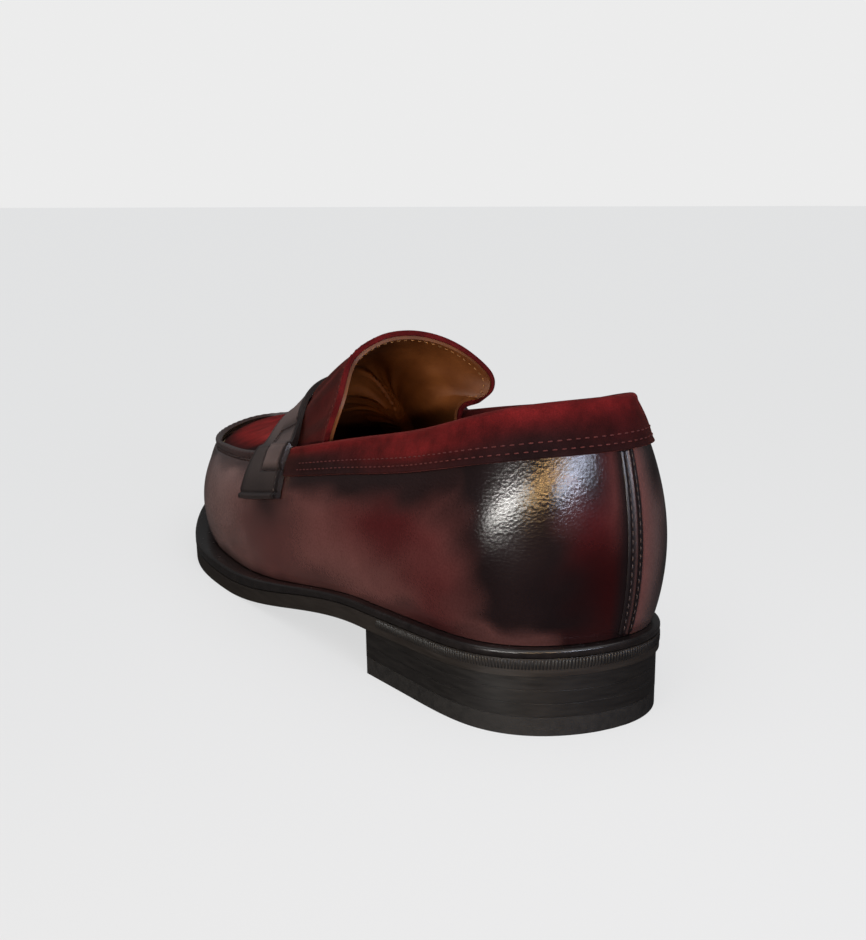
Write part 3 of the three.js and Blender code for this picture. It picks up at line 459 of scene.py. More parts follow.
def suede_material(name):
    material, tree, shader, where = new_material(name)
    tint = tint_of(tree)
    cloud = noise(tree, where, 120.0, 5.0, 0.6)
    fibre = noise(tree, where, 2400.0, 3.0, 0.7)
    cloudy = ramp(tree, cloud, [(0.32, (0.42, 0.40, 0.40)), (0.68, (1.55, 1.5, 1.5))])
    nap = mix(tree, "MULTIPLY", 0.8, tint, cloudy)
    fibrous = ramp(tree, fibre, [(0.35, (0.62, 0.6, 0.6)), (0.66, (1.3, 1.3, 1.3))])
    speckled = mix(tree, "MULTIPLY", 0.6, nap, fibrous)
    tree.links.new(speckled, shader.inputs["Base Color"])
    shader.inputs["Roughness"].default_value = 0.92
    shader.inputs["Specular IOR Level"].default_value = 0.08
    shader.inputs["Sheen Weight"].default_value = 0.08
    shader.inputs["Sheen Roughness"].default_value = 0.4
    shader.inputs["Sheen Tint"].default_value = (1.0, 0.25, 0.22, 1.0)
    height = maths(tree, "ADD", fibre, maths(tree, "MULTIPLY", noise(tree, where, 700.0, 3.0), 0.8))
    raise_grain(tree, shader, height, 0.7, 0.16 * MM)
    return material


red_suede = suede_material("red_suede")

# %% [markdown]
# ### Lining, edges, thread and the hidden materials
# Lining leather is smooth tan hide with faint creases. Sole and heel edges are stacked leather that
# has been stained black and waxed, so their fibres show as thin level lines. The rest, board, cork,
# foam, steel, brass and rubber, is mostly hidden but still gets its own look. Each call gives a dark
# and a light colour, the size of the pattern, the range of roughness, and the grain: its height in
# millimetres, how much finer it is than the pattern, and how far the pattern is drawn out.

# %% one recipe for the plainer materials


def plain_material(name, dark, light, size, roughness, grain=(0.0, 1.0, 0.0), metal=0.0, level=0.3, coat=0.0):
    material, tree, shader, where = new_material(name)
    if grain[2] > 0:
        stretch = tree.nodes.new("ShaderNodeMapping")
        stretch.inputs["Scale"].default_value = (grain[2], grain[2], 1.0)
        tree.links.new(where, stretch.inputs["Vector"])
        where = stretch.outputs["Vector"]
    pattern = noise(tree, where, size, 5.0, 0.6)
    tree.links.new(ramp(tree, pattern, [(0.3, dark), (0.72, light)]), shader.inputs["Base Color"])
    low, high = roughness
    tree.links.new(ramp(tree, pattern, [(0.2, (low,) * 3), (0.8, (high,) * 3)]), shader.inputs["Roughness"])
    shader.inputs["Metallic"].default_value = metal
    shader.inputs["Specular IOR Level"].default_value = level
    shader.inputs["Coat Weight"].default_value = coat
    shader.inputs["Coat Roughness"].default_value = 0.2
    if grain[0] > 0:
        raise_grain(tree, shader, noise(tree, where, size * grain[1], 4.0), 0.5, grain[0] * MM)
    return material


lining_leather = plain_material("lining_leather", (0.055, 0.015, 0.003), (0.125, 0.040, 0.009),
                                60, (0.38, 0.55), (0.12, 14, 0))
waxed_edge = plain_material("waxed_edge", (0.010, 0.008, 0.007), (0.020, 0.017, 0.015),
                            900, (0.34, 0.46), (0.03, 1.5, 0.10))
heel_edge = plain_material("heel_edge", (0.005, 0.0045, 0.0045), (0.011, 0.010, 0.0095),
                           900, (0.36, 0.50), (0.03, 1.6, 0.12))
glossy_rand = plain_material("glossy_rand", (0.005, 0.004, 0.004), (0.011, 0.009, 0.009),
                             300, (0.18, 0.30), (0.03, 4, 0), coat=0.15)
heel_rubber = plain_material("heel_rubber", (0.006, 0.0055, 0.0055), (0.013, 0.012, 0.0115),
                             500, (0.55, 0.75), (0.12, 3, 0))
insole_leather = plain_material("insole_leather", (0.30, 0.17, 0.09), (0.52, 0.34, 0.20),
                                90, (0.6, 0.8), (0.10, 12, 0))
stiffener_board = plain_material("stiffener_board", (0.34, 0.24, 0.14), (0.55, 0.42, 0.28),
                                 300, (0.7, 0.9), (0.10, 4, 0))
cork = plain_material("cork", (0.16, 0.08, 0.035), (0.46, 0.28, 0.14), 420, (0.8, 0.95), (0.4, 1.5, 0))
pad_foam = plain_material("pad_foam", (0.60, 0.50, 0.34), (0.76, 0.66, 0.48),
                          1200, (0.85, 0.95), (0.2, 2, 0))
shank_steel = plain_material("shank_steel", (0.35, 0.35, 0.36), (0.55, 0.55, 0.56),
                             900, (0.25, 0.45), (0.02, 2, 0.1), metal=1.0)
nail_brass = plain_material("nail_brass", (0.42, 0.30, 0.10), (0.62, 0.46, 0.18),
                            400, (0.3, 0.45), (0.02, 2, 0), metal=1.0)
dark_thread = plain_material("dark_thread", (0.010, 0.006, 0.006), (0.040, 0.025, 0.025),
                             4000, (0.5, 0.7), (0.05, 2, 0))
pale_thread = plain_material("pale_thread", (0.022, 0.016, 0.016), (0.070, 0.055, 0.053),
                             4000, (0.5, 0.7), (0.05, 2, 0))
red_thread = plain_material("red_thread", (0.030, 0.005, 0.005), (0.095, 0.016, 0.015),
                            4000, (0.6, 0.8), (0.05, 2, 0))
tan_thread = plain_material("tan_thread", (0.16, 0.07, 0.02), (0.30, 0.14, 0.05),
                            4000, (0.5, 0.7), (0.05, 2, 0))
print("materials:", len(bpy.data.materials))

# %% [markdown]
# ## The camera
# It stands behind the outer side of the heel, a little above the shoe, as close as someone holding it
# in front of them. A near camera makes the heel loom and the toe shrink, so the distance matters as
# much as the angle.

# %% camera
VIEW_AZIMUTH, VIEW_ELEVATION, VIEW_DISTANCE = 149.6, 15.2, 376.8
view_dir = np.array([
    math.sin(math.radians(VIEW_AZIMUTH)) * math.cos(math.radians(VIEW_ELEVATION)),
    -math.cos(math.radians(VIEW_AZIMUTH)) * math.cos(math.radians(VIEW_ELEVATION)),
    math.sin(math.radians(VIEW_ELEVATION)),
])
aim = place(58.4, 8.2, 42.6)
camera_data = bpy.data.cameras.new("camera")
camera = bpy.data.objects.new("camera", camera_data)
bpy.context.scene.collection.objects.link(camera)
camera.location = Vector((aim + view_dir * VIEW_DISTANCE) * MM)
camera.rotation_euler = Vector(-view_dir).to_track_quat("-Z", "Y").to_euler()
camera_data.sensor_fit = "HORIZONTAL"
camera_data.sensor_width = 36.0
camera_data.lens = 51.05
camera_data.shift_x = -0.0747
camera_data.shift_y = 0.0751
camera_data.clip_start = 0.01
bpy.context.scene.camera = camera
print("camera at", [round(v, 3) for v in camera.location])

# %% [markdown]
# ## Outsole
# One thick leather sole runs the whole length. It is made in level rows from side to side, because
# its height only changes along the foot, and the rows crowd together at the round ends. The bevel
# gives the edge the soft corner of an edge iron.

# %% outsole and the plates of the bottom
WHOLE_BACK, WHOLE_FRONT = -10, 400  # begin and finish beyond the sole: the plate is cut by its outline
OUTLINE_SAMPLES = 2200


def cross_span(inset):
    station = np.arange(OUTLINE_SAMPLES + 1) * RING / OUTLINE_SAMPLES
    along, side = edge_point(station, inset(station) if callable(inset) else inset)
    back, front = int(np.argmin(along[:-1])), int(np.argmax(along))
    order = (back + np.arange(OUTLINE_SAMPLES + 1)) % OUTLINE_SAMPLES
    turn = int(np.where(order == front)[0][0])
    outer, inner = order[:turn + 1], order[turn:][::-1]
    start, end = along[back], along[front]

    def sides(at):
        return np.interp(at, along[outer], side[outer]), np.interp(at, along[inner], side[inner])
    return start, end, sides


def plate(name, inset, begin, finish, low, high, rows, cols, material, replaces=(), bevel=0.0):
    start, end, sides = cross_span(inset)
    first, last = max(begin, start), min(finish, end)
    t = np.linspace(0, 1, rows)
    along = first + (last - first) * (0.2 * t + 0.8 * (1 - np.cos(np.pi * t)) / 2)
    outer, inner = sides(along)
    if first == start:
        outer[0] = inner[0] = (outer[0] + inner[0]) / 2
    if last == end:
        outer[-1] = inner[-1] = (outer[-1] + inner[-1]) / 2
    share = np.linspace(0, 1, cols)
    side = outer[:, None] + share * (inner - outer)[:, None]
    grid = np.broadcast_to(along[:, None], side.shape)
    face = place(grid, side, high(along)[:, None] if callable(high) else high)
    back = place(grid, side, low(along)[:, None] if callable(low) else low)
    return sheet(name, face, back, material, replaces, bevel=bevel)


def outsole_top(along):
    return underside(along) + OUTSOLE_THICKNESS


outsole = plate("outsole_leather", 0.0, WHOLE_BACK, WHOLE_FRONT, underside, outsole_top, 150, 14,
                waxed_edge, ("outsole",), bevel=0.7)
print("outsole faces:", len(outsole.data.polygons))

# %% [markdown]
# ## Welt
# The welt is the strip that joins the upper to the outsole. It is swept round the ring as one closed
# profile: a flat underside, a face that follows the sole edge, and a rounded top corner that catches
# a thin line of light. Behind the waist it runs on round the heel as the rand.

# %% welt
ring_k = np.arange(440) * RING / 440


def swept_ring(name, profile, material, replaces=()):
    rings = [edge_point(ring_k, inset) + (rise,) for inset, rise in profile]
    points = np.stack([place(a, s, rise(a)) for a, s, rise in rings], 1)
    rows, cols = points.shape[:2]
    closed = np.concatenate([points, points[:, :1]], 1)
    faces = grid_faces(rows, cols + 1, 0, True, False)
    return add_mesh(name, closed.reshape(-1, 3), faces.tolist(), material, replaces)


def above_sole(extra):
    return lambda a: underside(a) + OUTSOLE_THICKNESS + extra


def below_top(extra):
    return lambda a: welt_top(a) - extra


WELT_REACH, LIP = 14.0, 0.9
welt_profile = [
    (WELT_REACH, above_sole(0.0)), (0.5, above_sole(0.0)), (0.05, above_sole(0.35)), (-0.12, above_sole(1.1)),
]
for angle in np.linspace(0, math.pi / 2, 7):
    welt_profile.append((LIP - math.cos(angle), below_top(LIP - LIP * math.sin(angle))))
welt_profile += [(2.2, below_top(0.0)), (WELT_REACH, below_top(0.0))]
welt = swept_ring("welt_strip", welt_profile, glossy_rand, ("welt",))
print("welt faces:", len(welt.data.polygons))

# %% [markdown]
# ## Wheel marks round the heel
# A shoemaker runs a hot toothed wheel round the edge where rand and heel meet. It leaves a band of
# fine upright notches. They are modelled as a narrow ring whose depth rises and falls at that pitch.
# Each row of the band has a height and an inset; the rows tucked behind the edge carry no notches.

# %% wheel marks
NOTCH_PITCH, NOTCH_DEPTH, BAND_HEIGHT, BAND_ABOVE_SOLE = 0.95, 0.22, 2.9, 1.9
BAND_ROWS = [
    (-0.1, 0.3), (0.0, -0.02), (0.3, -0.16), (BAND_HEIGHT / 2, -0.2),
    (BAND_HEIGHT - 0.3, -0.16), (BAND_HEIGHT, -0.02), (BAND_HEIGHT + 0.1, 0.3),
]
mark_k = np.linspace(-3.55, 3.5, 2600)
a0, s0 = edge_point(mark_k, 0.0)
run = np.concatenate([[0], np.cumsum(np.hypot(np.diff(a0), np.diff(s0)))])
notch = 0.5 - 0.5 * np.cos(2 * np.pi * run / NOTCH_PITCH)
rows = []
for rise, depth in BAND_ROWS:
    inset = depth + (NOTCH_DEPTH * (1 - notch) if depth < 0 else 0)
    a, s = edge_point(mark_k, inset)
    rows.append(place(a, s, underside(a) + BAND_ABOVE_SOLE + rise))
marks = np.stack(rows, 1)
a, s = edge_point(mark_k, 0.8)
band_heights = underside(a) + BAND_ABOVE_SOLE
inner_face = np.stack([place(a, s, band_heights + rise) for rise in np.linspace(0, BAND_HEIGHT, 7)], 1)
sheet("wheel_marks", marks, inner_face, heel_edge)
print("notches:", int(run[-1] / NOTCH_PITCH))

# %% [markdown]
# ## Heel block
# Three leather lifts, the last one a wedge that meets the sloping sole, stand on a rubber top lift.
# They are cut to the sole's outline, a millimetre inside it. Stained and waxed together they look
# like one dark block with faint level joints.

# %% heel lifts
TOP_LIFT, LIFT = 5.5, 3.6
lift_levels = [TOP_LIFT + 0.03, TOP_LIFT + LIFT + 0.36, TOP_LIFT + 2 * LIFT + 0.66]
SEAM = 0.02


def heel_plate(name, inset, low, high, material, node, bevel):
    plate(name, inset, WHOLE_BACK, HEEL_BREAST, low, high, 70, 8, material, (node,), bevel=bevel)


heel_plate("heel_top_rubber", 0.9, 0.0, TOP_LIFT, heel_rubber, "top_lift", 0.8)
for name, low, high, node in (
    ("heel_leather_lift_1", lift_levels[0], lift_levels[1] - SEAM, "heel_lift_1"),
    ("heel_leather_lift_2", lift_levels[1], lift_levels[2] - SEAM, "heel_lift_2"),
    ("heel_leather_wedge", lift_levels[2], lambda a: underside(a) - SEAM, "heel_wedge_lift"),
):
    heel_plate(name, 0.85, low, high, heel_edge, node, 0.06)
print("heel height at the back:", round(float(underside(0.0)), 1), "mm")

# %% [markdown]
# ## Insole, heel pad and sock liner
# Inside, a leather insole carries the foot. A thin foam pad lies under the heel and a tan sock liner
# covers both. The sock liner is the only one that shows; it rises a little over the pad.

# %% inside floor
INSOLE_INSET, MARGIN = 4.8, 1.2


def insole_inset(station):
    return on_ring(WELT_WIDTH, station) + INSOLE_INSET


def insole_low(a):
    return welt_top(a) + GAP + MARGIN + GAP


def insole_high(a):
    return insole_low(a) + 2.5


def pad_inset(station):
    return insole_inset(station) + 4


def pad_low(a):
    return insole_high(a) + GAP


def pad_high(a):
    return pad_low(a) + 2.0 * smooth(74, 50, a) + 0.02


def sock_inset(station):
    return insole_inset(station) + 0.3


def sock_low(a):
    return insole_high(a) + GAP + 2.3 * smooth(82, 66, a)


def sock_high(a):
    return sock_low(a) + 1.0


plate("insole_board", insole_inset, WHOLE_BACK, WHOLE_FRONT, insole_low, insole_high, 90, 6,
      insole_leather, ("insole",), bevel=0.3)
pad = plate("heel_cushion", pad_inset, WHOLE_BACK, 66, pad_low, pad_high, 50, 8,
            pad_foam, ("heel_pad",))
plate("sock_leather", sock_inset, WHOLE_BACK, WHOLE_FRONT, sock_low, sock_high, 120, 10,
      lining_leather, ("sock_liner",), bevel=0.3)

# %% [markdown]
# ## Patina and painted reflection
# The maker has burnished this shoe by hand: nearly black round the back seam, the counter, the strap
# and just under the collar, wine red between, and a greyed burgundy along the side. That grey is
# partly the leather's tone and partly painted reflection of the surrounding light, which turns paler
# on the forepart sides and beside the back seam on the inner side. The paint is a blend of four
# colours by station and height, with edges that wander as a hand-rubbed stain does.

# %% patina and painted reflection of the wall
BURNT_AND_SHADE, WINE = np.array([0.0055, 0.0035, 0.004]), np.array([0.040, 0.0030, 0.0042])
GREYED_TONE_AND_SHEEN, PAINTED_REFLECTION_GREY = np.array([0.105, 0.045, 0.042]), np.array([0.170, 0.122, 0.118])


def as_rgba(colour):
    return np.concatenate([colour, np.ones(colour.shape[:-1] + (1,))], -1)


def blend_colours(one, two, share):
    return one + (two - one) * np.clip(share, 0, 1)[..., None]


def patina_and_reflection(station, v):
    station, v = np.broadcast_arrays(np.asarray(station, float), np.asarray(v, float))
    k = np.where(station > RING / 2, station - RING, station)
    kk = np.abs(k)
    wander = 0.10 * np.sin(9 * v + 2.1 * k) + 0.07 * np.sin(17 * v - 4.3 * k)
    wander += 0.05 * np.sin(31 * v + 7.7 * k)
    kk, v = kk + wander * smooth(0.4, 1.0, kk), v + 0.35 * wander * np.cos(3.1 * k)
    # The forepart sides turn a paler grey: painted reflection of the surrounding light.
    colour = blend_colours(np.broadcast_to(GREYED_TONE_AND_SHEEN, k.shape + (3,)), PAINTED_REFLECTION_GREY, 0.75 * smooth(5.6, 8.0, kk))
    # Beside the back seam on the inner side, a paler grey: painted reflection.
    colour = blend_colours(colour, PAINTED_REFLECTION_GREY * 0.5, 0.8 * smooth(-0.1, -0.5, k) * smooth(-1.5, -1.0, k))
    colour = blend_colours(colour, WINE, 0.95 * bump(0.58, 0.5, kk) * smooth(0.0, 0.2, v) * (k > 0))
    colour = blend_colours(colour, WINE * 0.35, 0.95 * smooth(1.3, 0.9, kk) * smooth(0.62, 0.25, v) * (k > 0))
    colour = blend_colours(colour, WINE, 0.9 * bump(3.2, 1.2, kk) * bump(0.50, 0.25, v))
    colour = blend_colours(colour, WINE, 0.7 * bump(2.6, 0.7, kk) * smooth(0.5, 0.2, v))
    colour = blend_colours(colour, WINE, 0.4 * bump(5.6, 0.7, kk) * bump(0.25, 0.3, v))
    dark = 0.97 * smooth(0.36, 0.12, k) * smooth(-0.16, -0.10, k)
    diagonal = kk - 1.45 - 0.6 * (v - 0.40)
    dark = np.maximum(dark, 0.98 * smooth(1.15, 0.35, np.abs(diagonal)) * smooth(-0.05, 0.10, v))
    under_collar = smooth(0.44, 0.66, v - 0.02 * kk) * smooth(6.6, 4.4, kk) * smooth(0.1, 0.6, kk)
    dark = np.maximum(dark, 0.92 * under_collar)
    dark = np.maximum(dark, 0.85 * bump(5.6, 0.45, kk) * smooth(0.28, 0.60, v))
    dark = np.maximum(dark, 0.45 * bump(4.6, 0.5, kk) * smooth(0.25, 0.05, v))
    dark = np.maximum(dark, 0.70 * smooth(0.66, 0.86, v) * smooth(5.4, 6.0, kk))
    dark = np.maximum(dark, 0.55 * smooth(0.10, 0.0, v))
    dark = np.maximum(dark, 0.35 * bump(11.0, 1.2, kk) * smooth(0.2, 0.9, v))
    return blend_colours(colour, BURNT_AND_SHADE, dark)


for spot, k in (("back seam", 0.0), ("counter", 1.8), ("side", 4.0)):
    print("patina at the", spot, patina_and_reflection(k, 0.4).round(3).tolist())

# %% [markdown]
# ## Wall
# One band of smooth leather goes all the way round and is turned in under the insole. Near the
# forepart its top edge is rolled into the raised ridge of a moccasin seam, with a sunk, sewn groove
# just below it, gathered a little at each stitch. The ridge is shaped in the sheet itself.

# %% wall
MOC_FROM, MOC_TO = 6.35, 15.75
COLLAR_FROM, COLLAR_TO = -4.75, 5.25
TOP_UNDER_COLLAR, COLLAR_BOTTOM = 0.95, 0.77


def moc_weight(station):
    k = np.asarray(station, float) % RING
    return smooth(MOC_FROM - 0.3, MOC_FROM + 0.3, k) * smooth(MOC_TO + 0.3, MOC_TO - 0.3, k)


def wall_top(station):
    k = np.asarray(station, float) % RING
    inner = np.where(k > RING / 2, RING - k, k)
    opening = np.where(k > RING / 2, -COLLAR_FROM, COLLAR_TO)
    t = np.clip((inner - opening - 0.1) / 0.7, 0, 1)
    return TOP_UNDER_COLLAR + (1 - TOP_UNDER_COLLAR) * t * t * (3 - 2 * t)


wall_k = np.arange(880) * RING / 880
top_edge = wall_surface(wall_k, 1.0)
edge_run = np.concatenate([[0], np.cumsum(np.linalg.norm(np.diff(top_edge, axis=0), axis=1))])
GATHER_PITCH = 4.2


def wall_relief(station, v):
    depth = (1.0 - v) * wall_height(station)
    along_edge = np.interp(np.asarray(station, float) % RING, wall_k, edge_run)
    gather = 0.5 + 0.5 * np.cos(2 * np.pi * along_edge / GATHER_PITCH)
    ridge = (1.0 + 0.22 * gather) * bump(1.7, 1.5, depth) - (0.75 + 0.3 * gather) * bump(4.3, 0.8, depth)
    seam = -0.25 * bump(0.0, 0.035, np.where(station > RING / 2, station - RING, station))
    return ridge * moc_weight(station) + seam


v_share = np.concatenate([np.linspace(0, 0.75, 34)[:-1], np.linspace(0.75, 1, 44)])
K, V = np.meshgrid(wall_k, v_share, indexing="ij")
V = V * wall_top(K)
outer_face = wall_point(K, V, wall_relief(K, V))
inner_face = wall_point(K, V, -1.4 + 0.3 * wall_relief(K, V))
turned_face, turned_back = [], []
for inset, rise in ((12.0, 0.3), (4.0, 0.3), (0.6, 0.25), (0.05, 0.1)):
    a, s = edge_point(wall_k, on_ring(WELT_WIDTH, wall_k) + inset)
    turned_face.append(place(a, s, welt_top(a) + rise))
    back_a, back_s = edge_point(wall_k, on_ring(WELT_WIDTH, wall_k) + inset + 1.3)
    turned_back.append(place(back_a, back_s, welt_top(a) + rise + 1.2))
face = np.concatenate([np.stack(turned_face, 1), outer_face[:, 1:]], 1)
back = np.concatenate([np.stack(turned_back, 1), inner_face[:, 1:]], 1)
foot_paint = np.repeat(patina_and_reflection(wall_k, 0.0)[:, None], len(turned_face), 1)
wall_paint = as_rgba(np.concatenate([foot_paint, patina_and_reflection(K, V)[:, 1:]], 1))
wall = sheet("wall_leather_band", face, back, wall_leather, ("side_wall",),
             ringed=True, bevel=0.45, paint=wall_paint)
print("wall faces:", len(wall.data.polygons))

# %% seam stitches of the moccasin ridge
ridge_k = np.linspace(MOC_FROM - 0.1, MOC_TO + 0.1, 900)
ridge_v = 1.0 - 4.3 / wall_height(ridge_k)
ridge_line = wall_point(ridge_k, ridge_v, wall_relief(ridge_k, ridge_v) + 0.15)
stitches("moccasin_seam_thread", ridge_line, wall_normal(ridge_k, ridge_v), dark_thread,
         pitch=GATHER_PITCH, length=2.9, radius=0.42, sink=0.4)

# %% [markdown]
# ## Back seam
# Where the band's ends meet at the heel they are closed with a narrow strip and two rows of small
# stitches. The strip has a raised spine down its middle.

# %% back strip
strip_k = np.linspace(-0.12, 0.12, 25)
strip_v = np.linspace(0.02, COLLAR_BOTTOM - 0.004, 120)
K, V = np.meshgrid(strip_k, strip_v, indexing="ij")
off_middle = np.abs(K)
crown = 0.55 + 0.35 * bump(0, 0.018, K)
crown -= 0.16 * bump(0.06, 0.02, off_middle) + 0.25 * smooth(0.09, 0.12, off_middle)
# Nearly black, with a painted highlight: paler grey down the raised spine.
strip_tone_and_spine_highlight = as_rgba(blend_colours(np.broadcast_to(BURNT_AND_SHADE, K.shape + (3,)), GREYED_TONE_AND_SHEEN, 0.25 * bump(0, 0.02, K)))
sheet("back_seam_strip", wall_point(K, V, crown), wall_point(K, V, np.full(K.shape, 0.02)), strap_leather,
      ("back_strip",), bevel=0.1, paint=strip_tone_and_spine_highlight)
for name, at in (("back_seam_thread_outer", 0.062), ("back_seam_thread_inner", -0.062)):
    v = np.linspace(0.03, COLLAR_BOTTOM + 0.02, 200)
    k = np.full(v.shape, at)
    stitches(name, wall_point(k, v, np.full(v.shape, 0.55)), wall_normal(k, v), dark_thread,
             pitch=2.3, length=1.5, radius=0.22, sink=0.22)

# %% [markdown]
# ## Collar
# A band of red suede caps the top edge. Outside it lies over the wall and ends in a cut edge that
# stands a little proud, with two close rows of stitches above it. It rolls over the top and folds
# down inside. The profile is drawn once, from the lower outside edge over the roll to the inside, and
# carried round the opening.

# %% collar
SUEDE_RED, SUEDE_DARK = np.array([0.028, 0.0024, 0.0029]), np.array([0.006, 0.0030, 0.0034])
SUEDE_BRIGHT = np.array([0.150, 0.009, 0.010])
collar_k = np.linspace(COLLAR_FROM, COLLAR_TO, 420)
CREST = TOP_UNDER_COLLAR + 0.005
FOLD_DEPTH = 12.0


def collar_profile(station, t, out, inside, rise):
    """t runs from 0 at the lower outside edge to 1 at the lower inside edge."""
    leg = np.clip(t / 0.4, 0, 1)
    roll = np.clip((t - 0.4) / 0.25, 0, 1)
    fold = np.clip((t - 0.65) / 0.35, 0, 1)
    centre, reach = (out + inside) / 2, (out - inside) / 2
    v = COLLAR_BOTTOM + (CREST - COLLAR_BOTTOM) * leg - fold * FOLD_DEPTH / wall_height(station)
    offset = np.where(t < 0.65, centre + reach * np.cos(np.pi * roll), inside)
    lip = 0.35 * bump(0.0, 0.07, leg) * (t < 0.4) if out > 0.5 else 0.0
    puff = 0.35 * np.sin(np.pi * leg) * (t < 0.4) if out > 0.5 else 0.0
    points = wall_point(station, v, offset + lip + puff)
    points[..., 2] += rise * np.sin(np.pi * roll)
    return points


K, T = np.meshgrid(collar_k, np.linspace(0, 1, 64), indexing="ij")
kk = np.abs(K)
# A painted highlight: lighter along the crest of the roll.
suede = blend_colours(np.broadcast_to(SUEDE_RED, K.shape + (3,)), SUEDE_BRIGHT, 0.35 * bump(0.44, 0.12, T))
suede = blend_colours(suede, SUEDE_BRIGHT, 0.55 * bump(2.9, 0.8, kk) * bump(0.24, 0.12, T))
near_strap = smooth(3.3, 4.9, kk) * smooth(0.45, 0.25, T)
# Darker towards the lower outside edge, partly the suede's dye and partly painted shade from the light above;
# antiqued dark beside the strap.
suede = blend_colours(suede, SUEDE_DARK, 0.7 * bump(0.02, 0.16, T) + 0.85 * near_strap)
suede = blend_colours(suede, SUEDE_DARK, 0.8 * bump(1.3, 0.8, kk) * smooth(0.36, 0.12, T))
sheet("suede_collar", collar_profile(K, T, 1.05, -5.8, 3.0), collar_profile(K, T, 0.3, -4.5, 1.6), red_suede,
      ("collar",), bevel=0.3, paint=as_rgba(suede))
for name, rise in (("collar_thread_lower", 2.0), ("collar_thread_upper", 4.3)):
    k = np.linspace(COLLAR_FROM + 0.05, COLLAR_TO - 0.3, 500)
    v = COLLAR_BOTTOM + rise / wall_height(k)
    leg = (v - COLLAR_BOTTOM) / (CREST - COLLAR_BOTTOM)
    offset = 1.05 + 0.35 * np.sin(np.pi * leg) + 0.35 * bump(0, 0.07, leg)
    stitches(name, wall_point(k, v, offset), wall_normal(k, v), red_thread,
             pitch=2.5, length=1.5, radius=0.18, sink=0.2)

# %% [markdown]
# ## Linings and stiffeners
# Tan leather lines the quarters and, as one bag, the forepart. Stiffeners hide between lining and
# wall at heel and toe; they keep their plain solids with a board finish.

# %% linings
LINING = (-3.3, -4.2)
ABOVE_MARGIN = 2.6
K, T = np.meshgrid(np.linspace(-5.5, 6.25, 260), np.linspace(0, 1, 40), indexing="ij")
low = ABOVE_MARGIN / wall_height(K)
V = low + (TOP_UNDER_COLLAR - 0.015 - low) * T
crease = 0.16 * np.sin(K * 9 + 4 * np.sin(V * 9)) * np.sin(np.pi * T)
lining_face = wall_point(K, V, LINING[1] + crease)
lining_back = wall_point(K, V, np.full(K.shape, LINING[0]))
sheet("quarter_lining_leather", lining_face, lining_back, lining_leather,
      ("quarter_lining",), bevel=0.2)

# %% [markdown]
# ## Instep
# From the throat to the toe, curves bridge from the top of the outer wall to the top of the inner
# one. `g` runs from 0 at the tongue's free edge to 1 at the toe. The height of the middle of the
# instep is a short table, and the bridge is round near the throat and flat over the toes.

# %% instep curves
THROAT_OUTER, THROAT_INNER = 4.9, 17.5
INSTEP_HEIGHTS = np.array([100, 94.5, 81, 68.5, 60.5, 57, 54.5, 52.5, 50.5, 48.5, 46])
ARCH_DROP, ARCH_MARGIN, ARCH_EASE, INSTEP_FULLNESS = 6.5, 0.05, 6.0, 0.95


def outer_station(g):
    return THROAT_OUTER + (TOE_STATION - THROAT_OUTER) * g


def inner_station(g):
    return THROAT_INNER + (TOE_STATION - THROAT_INNER) * g


def instep_height(g):
    last = len(INSTEP_HEIGHTS) - 1
    x = np.clip(np.asarray(g, float) * last, 0, last - 1e-6)
    i = np.floor(x).astype(int)
    t = x - i
    at = lambda n: INSTEP_HEIGHTS[np.clip(n, 0, last)]
    m0, m1 = (at(i + 1) - at(i - 1)) / 2, (at(i + 2) - at(i)) / 2
    return ((2 * t ** 3 - 3 * t ** 2 + 1) * at(i) + (t ** 3 - 2 * t ** 2 + t) * m0
            + (-2 * t ** 3 + 3 * t ** 2) * at(i + 1) + (t ** 3 - t ** 2) * m1)


def bridge(a, b, s, height, fullness):
    points = a + (b - a) * s[..., None]
    crown = np.maximum(0, height - (a[..., 2] + b[..., 2]) / 2)
    points[..., 2] += crown * np.maximum(0, 1 - (2 * s - 1) ** 2) ** fullness
    return points


def eased(rise):
    return (rise + np.hypot(rise, ARCH_EASE)) / 2


def drape(a, b, g, s, height):
    """Leather pulled over both top edges: level beside them, then up over the arch of the instep."""
    points = a + (b - a) * s[..., None]
    base = (a[..., 2] + b[..., 2]) / 2
    seat = base - ARCH_DROP * (1 - smooth(0.35, 0.6, g))
    share = np.clip((s - ARCH_MARGIN) / (1 - 2 * ARCH_MARGIN), 0, 1)
    rise = seat - base + np.maximum(0, height - seat) * (1 - (2 * share - 1) ** 2) ** INSTEP_FULLNESS
    points[..., 2] += eased(rise) - eased(seat - base)
    return points


# %% [markdown]
# ## Vamp lining
# One bag over the toes: it climbs the outer wall, crosses under the apron and comes down the inner
# wall, and its last row folds shut at the toe.

# %% vamp lining
APRON_RECESS, LINING_TOP = 2.3, 0.82


def vamp_lining(offset):
    g = np.linspace(0.2, 1, 90)
    rows = []
    steps = np.linspace(0, 1, 16)
    for station in (outer_station(g), inner_station(g)):
        low = ABOVE_MARGIN / wall_height(station)
        v = low[:, None] + (LINING_TOP - low)[:, None] * steps
        rows.append(wall_point(station[:, None], v, np.full(v.shape, offset)))
    s = np.broadcast_to(np.linspace(0, 1, 34)[1:-1], (90, 32))
    forward = smooth(0.2, 0.34, g)
    height = (instep_height(g) - 6.2 - 1.3 * forward + offset - LINING[0])[:, None]
    top = bridge(rows[0][:, -1:], rows[1][:, -1:], s, height, (1.5 + 0.2 * forward)[:, None])
    return np.concatenate([rows[0], top, rows[1][:, ::-1]], 1)


sheet("vamp_lining_leather", vamp_lining(LINING[0]), vamp_lining(LINING[1]), lining_leather,
      ("vamp_lining",), folded=True, bevel=0.2)

# %% [markdown]
# ## Apron
# The suede top of the forepart is set a little below the ridge. It is nearly flat and dips to its
# sewn edge. It is darkest there, partly stained by the brush and partly painted shade in the recess
# under the ridge, and painted shade also darkens it where it runs under the strap.

# %% apron
def apron_recess(g):
    return APRON_RECESS * (0.6 + 0.4 * smooth(0.3, 0.36, g))


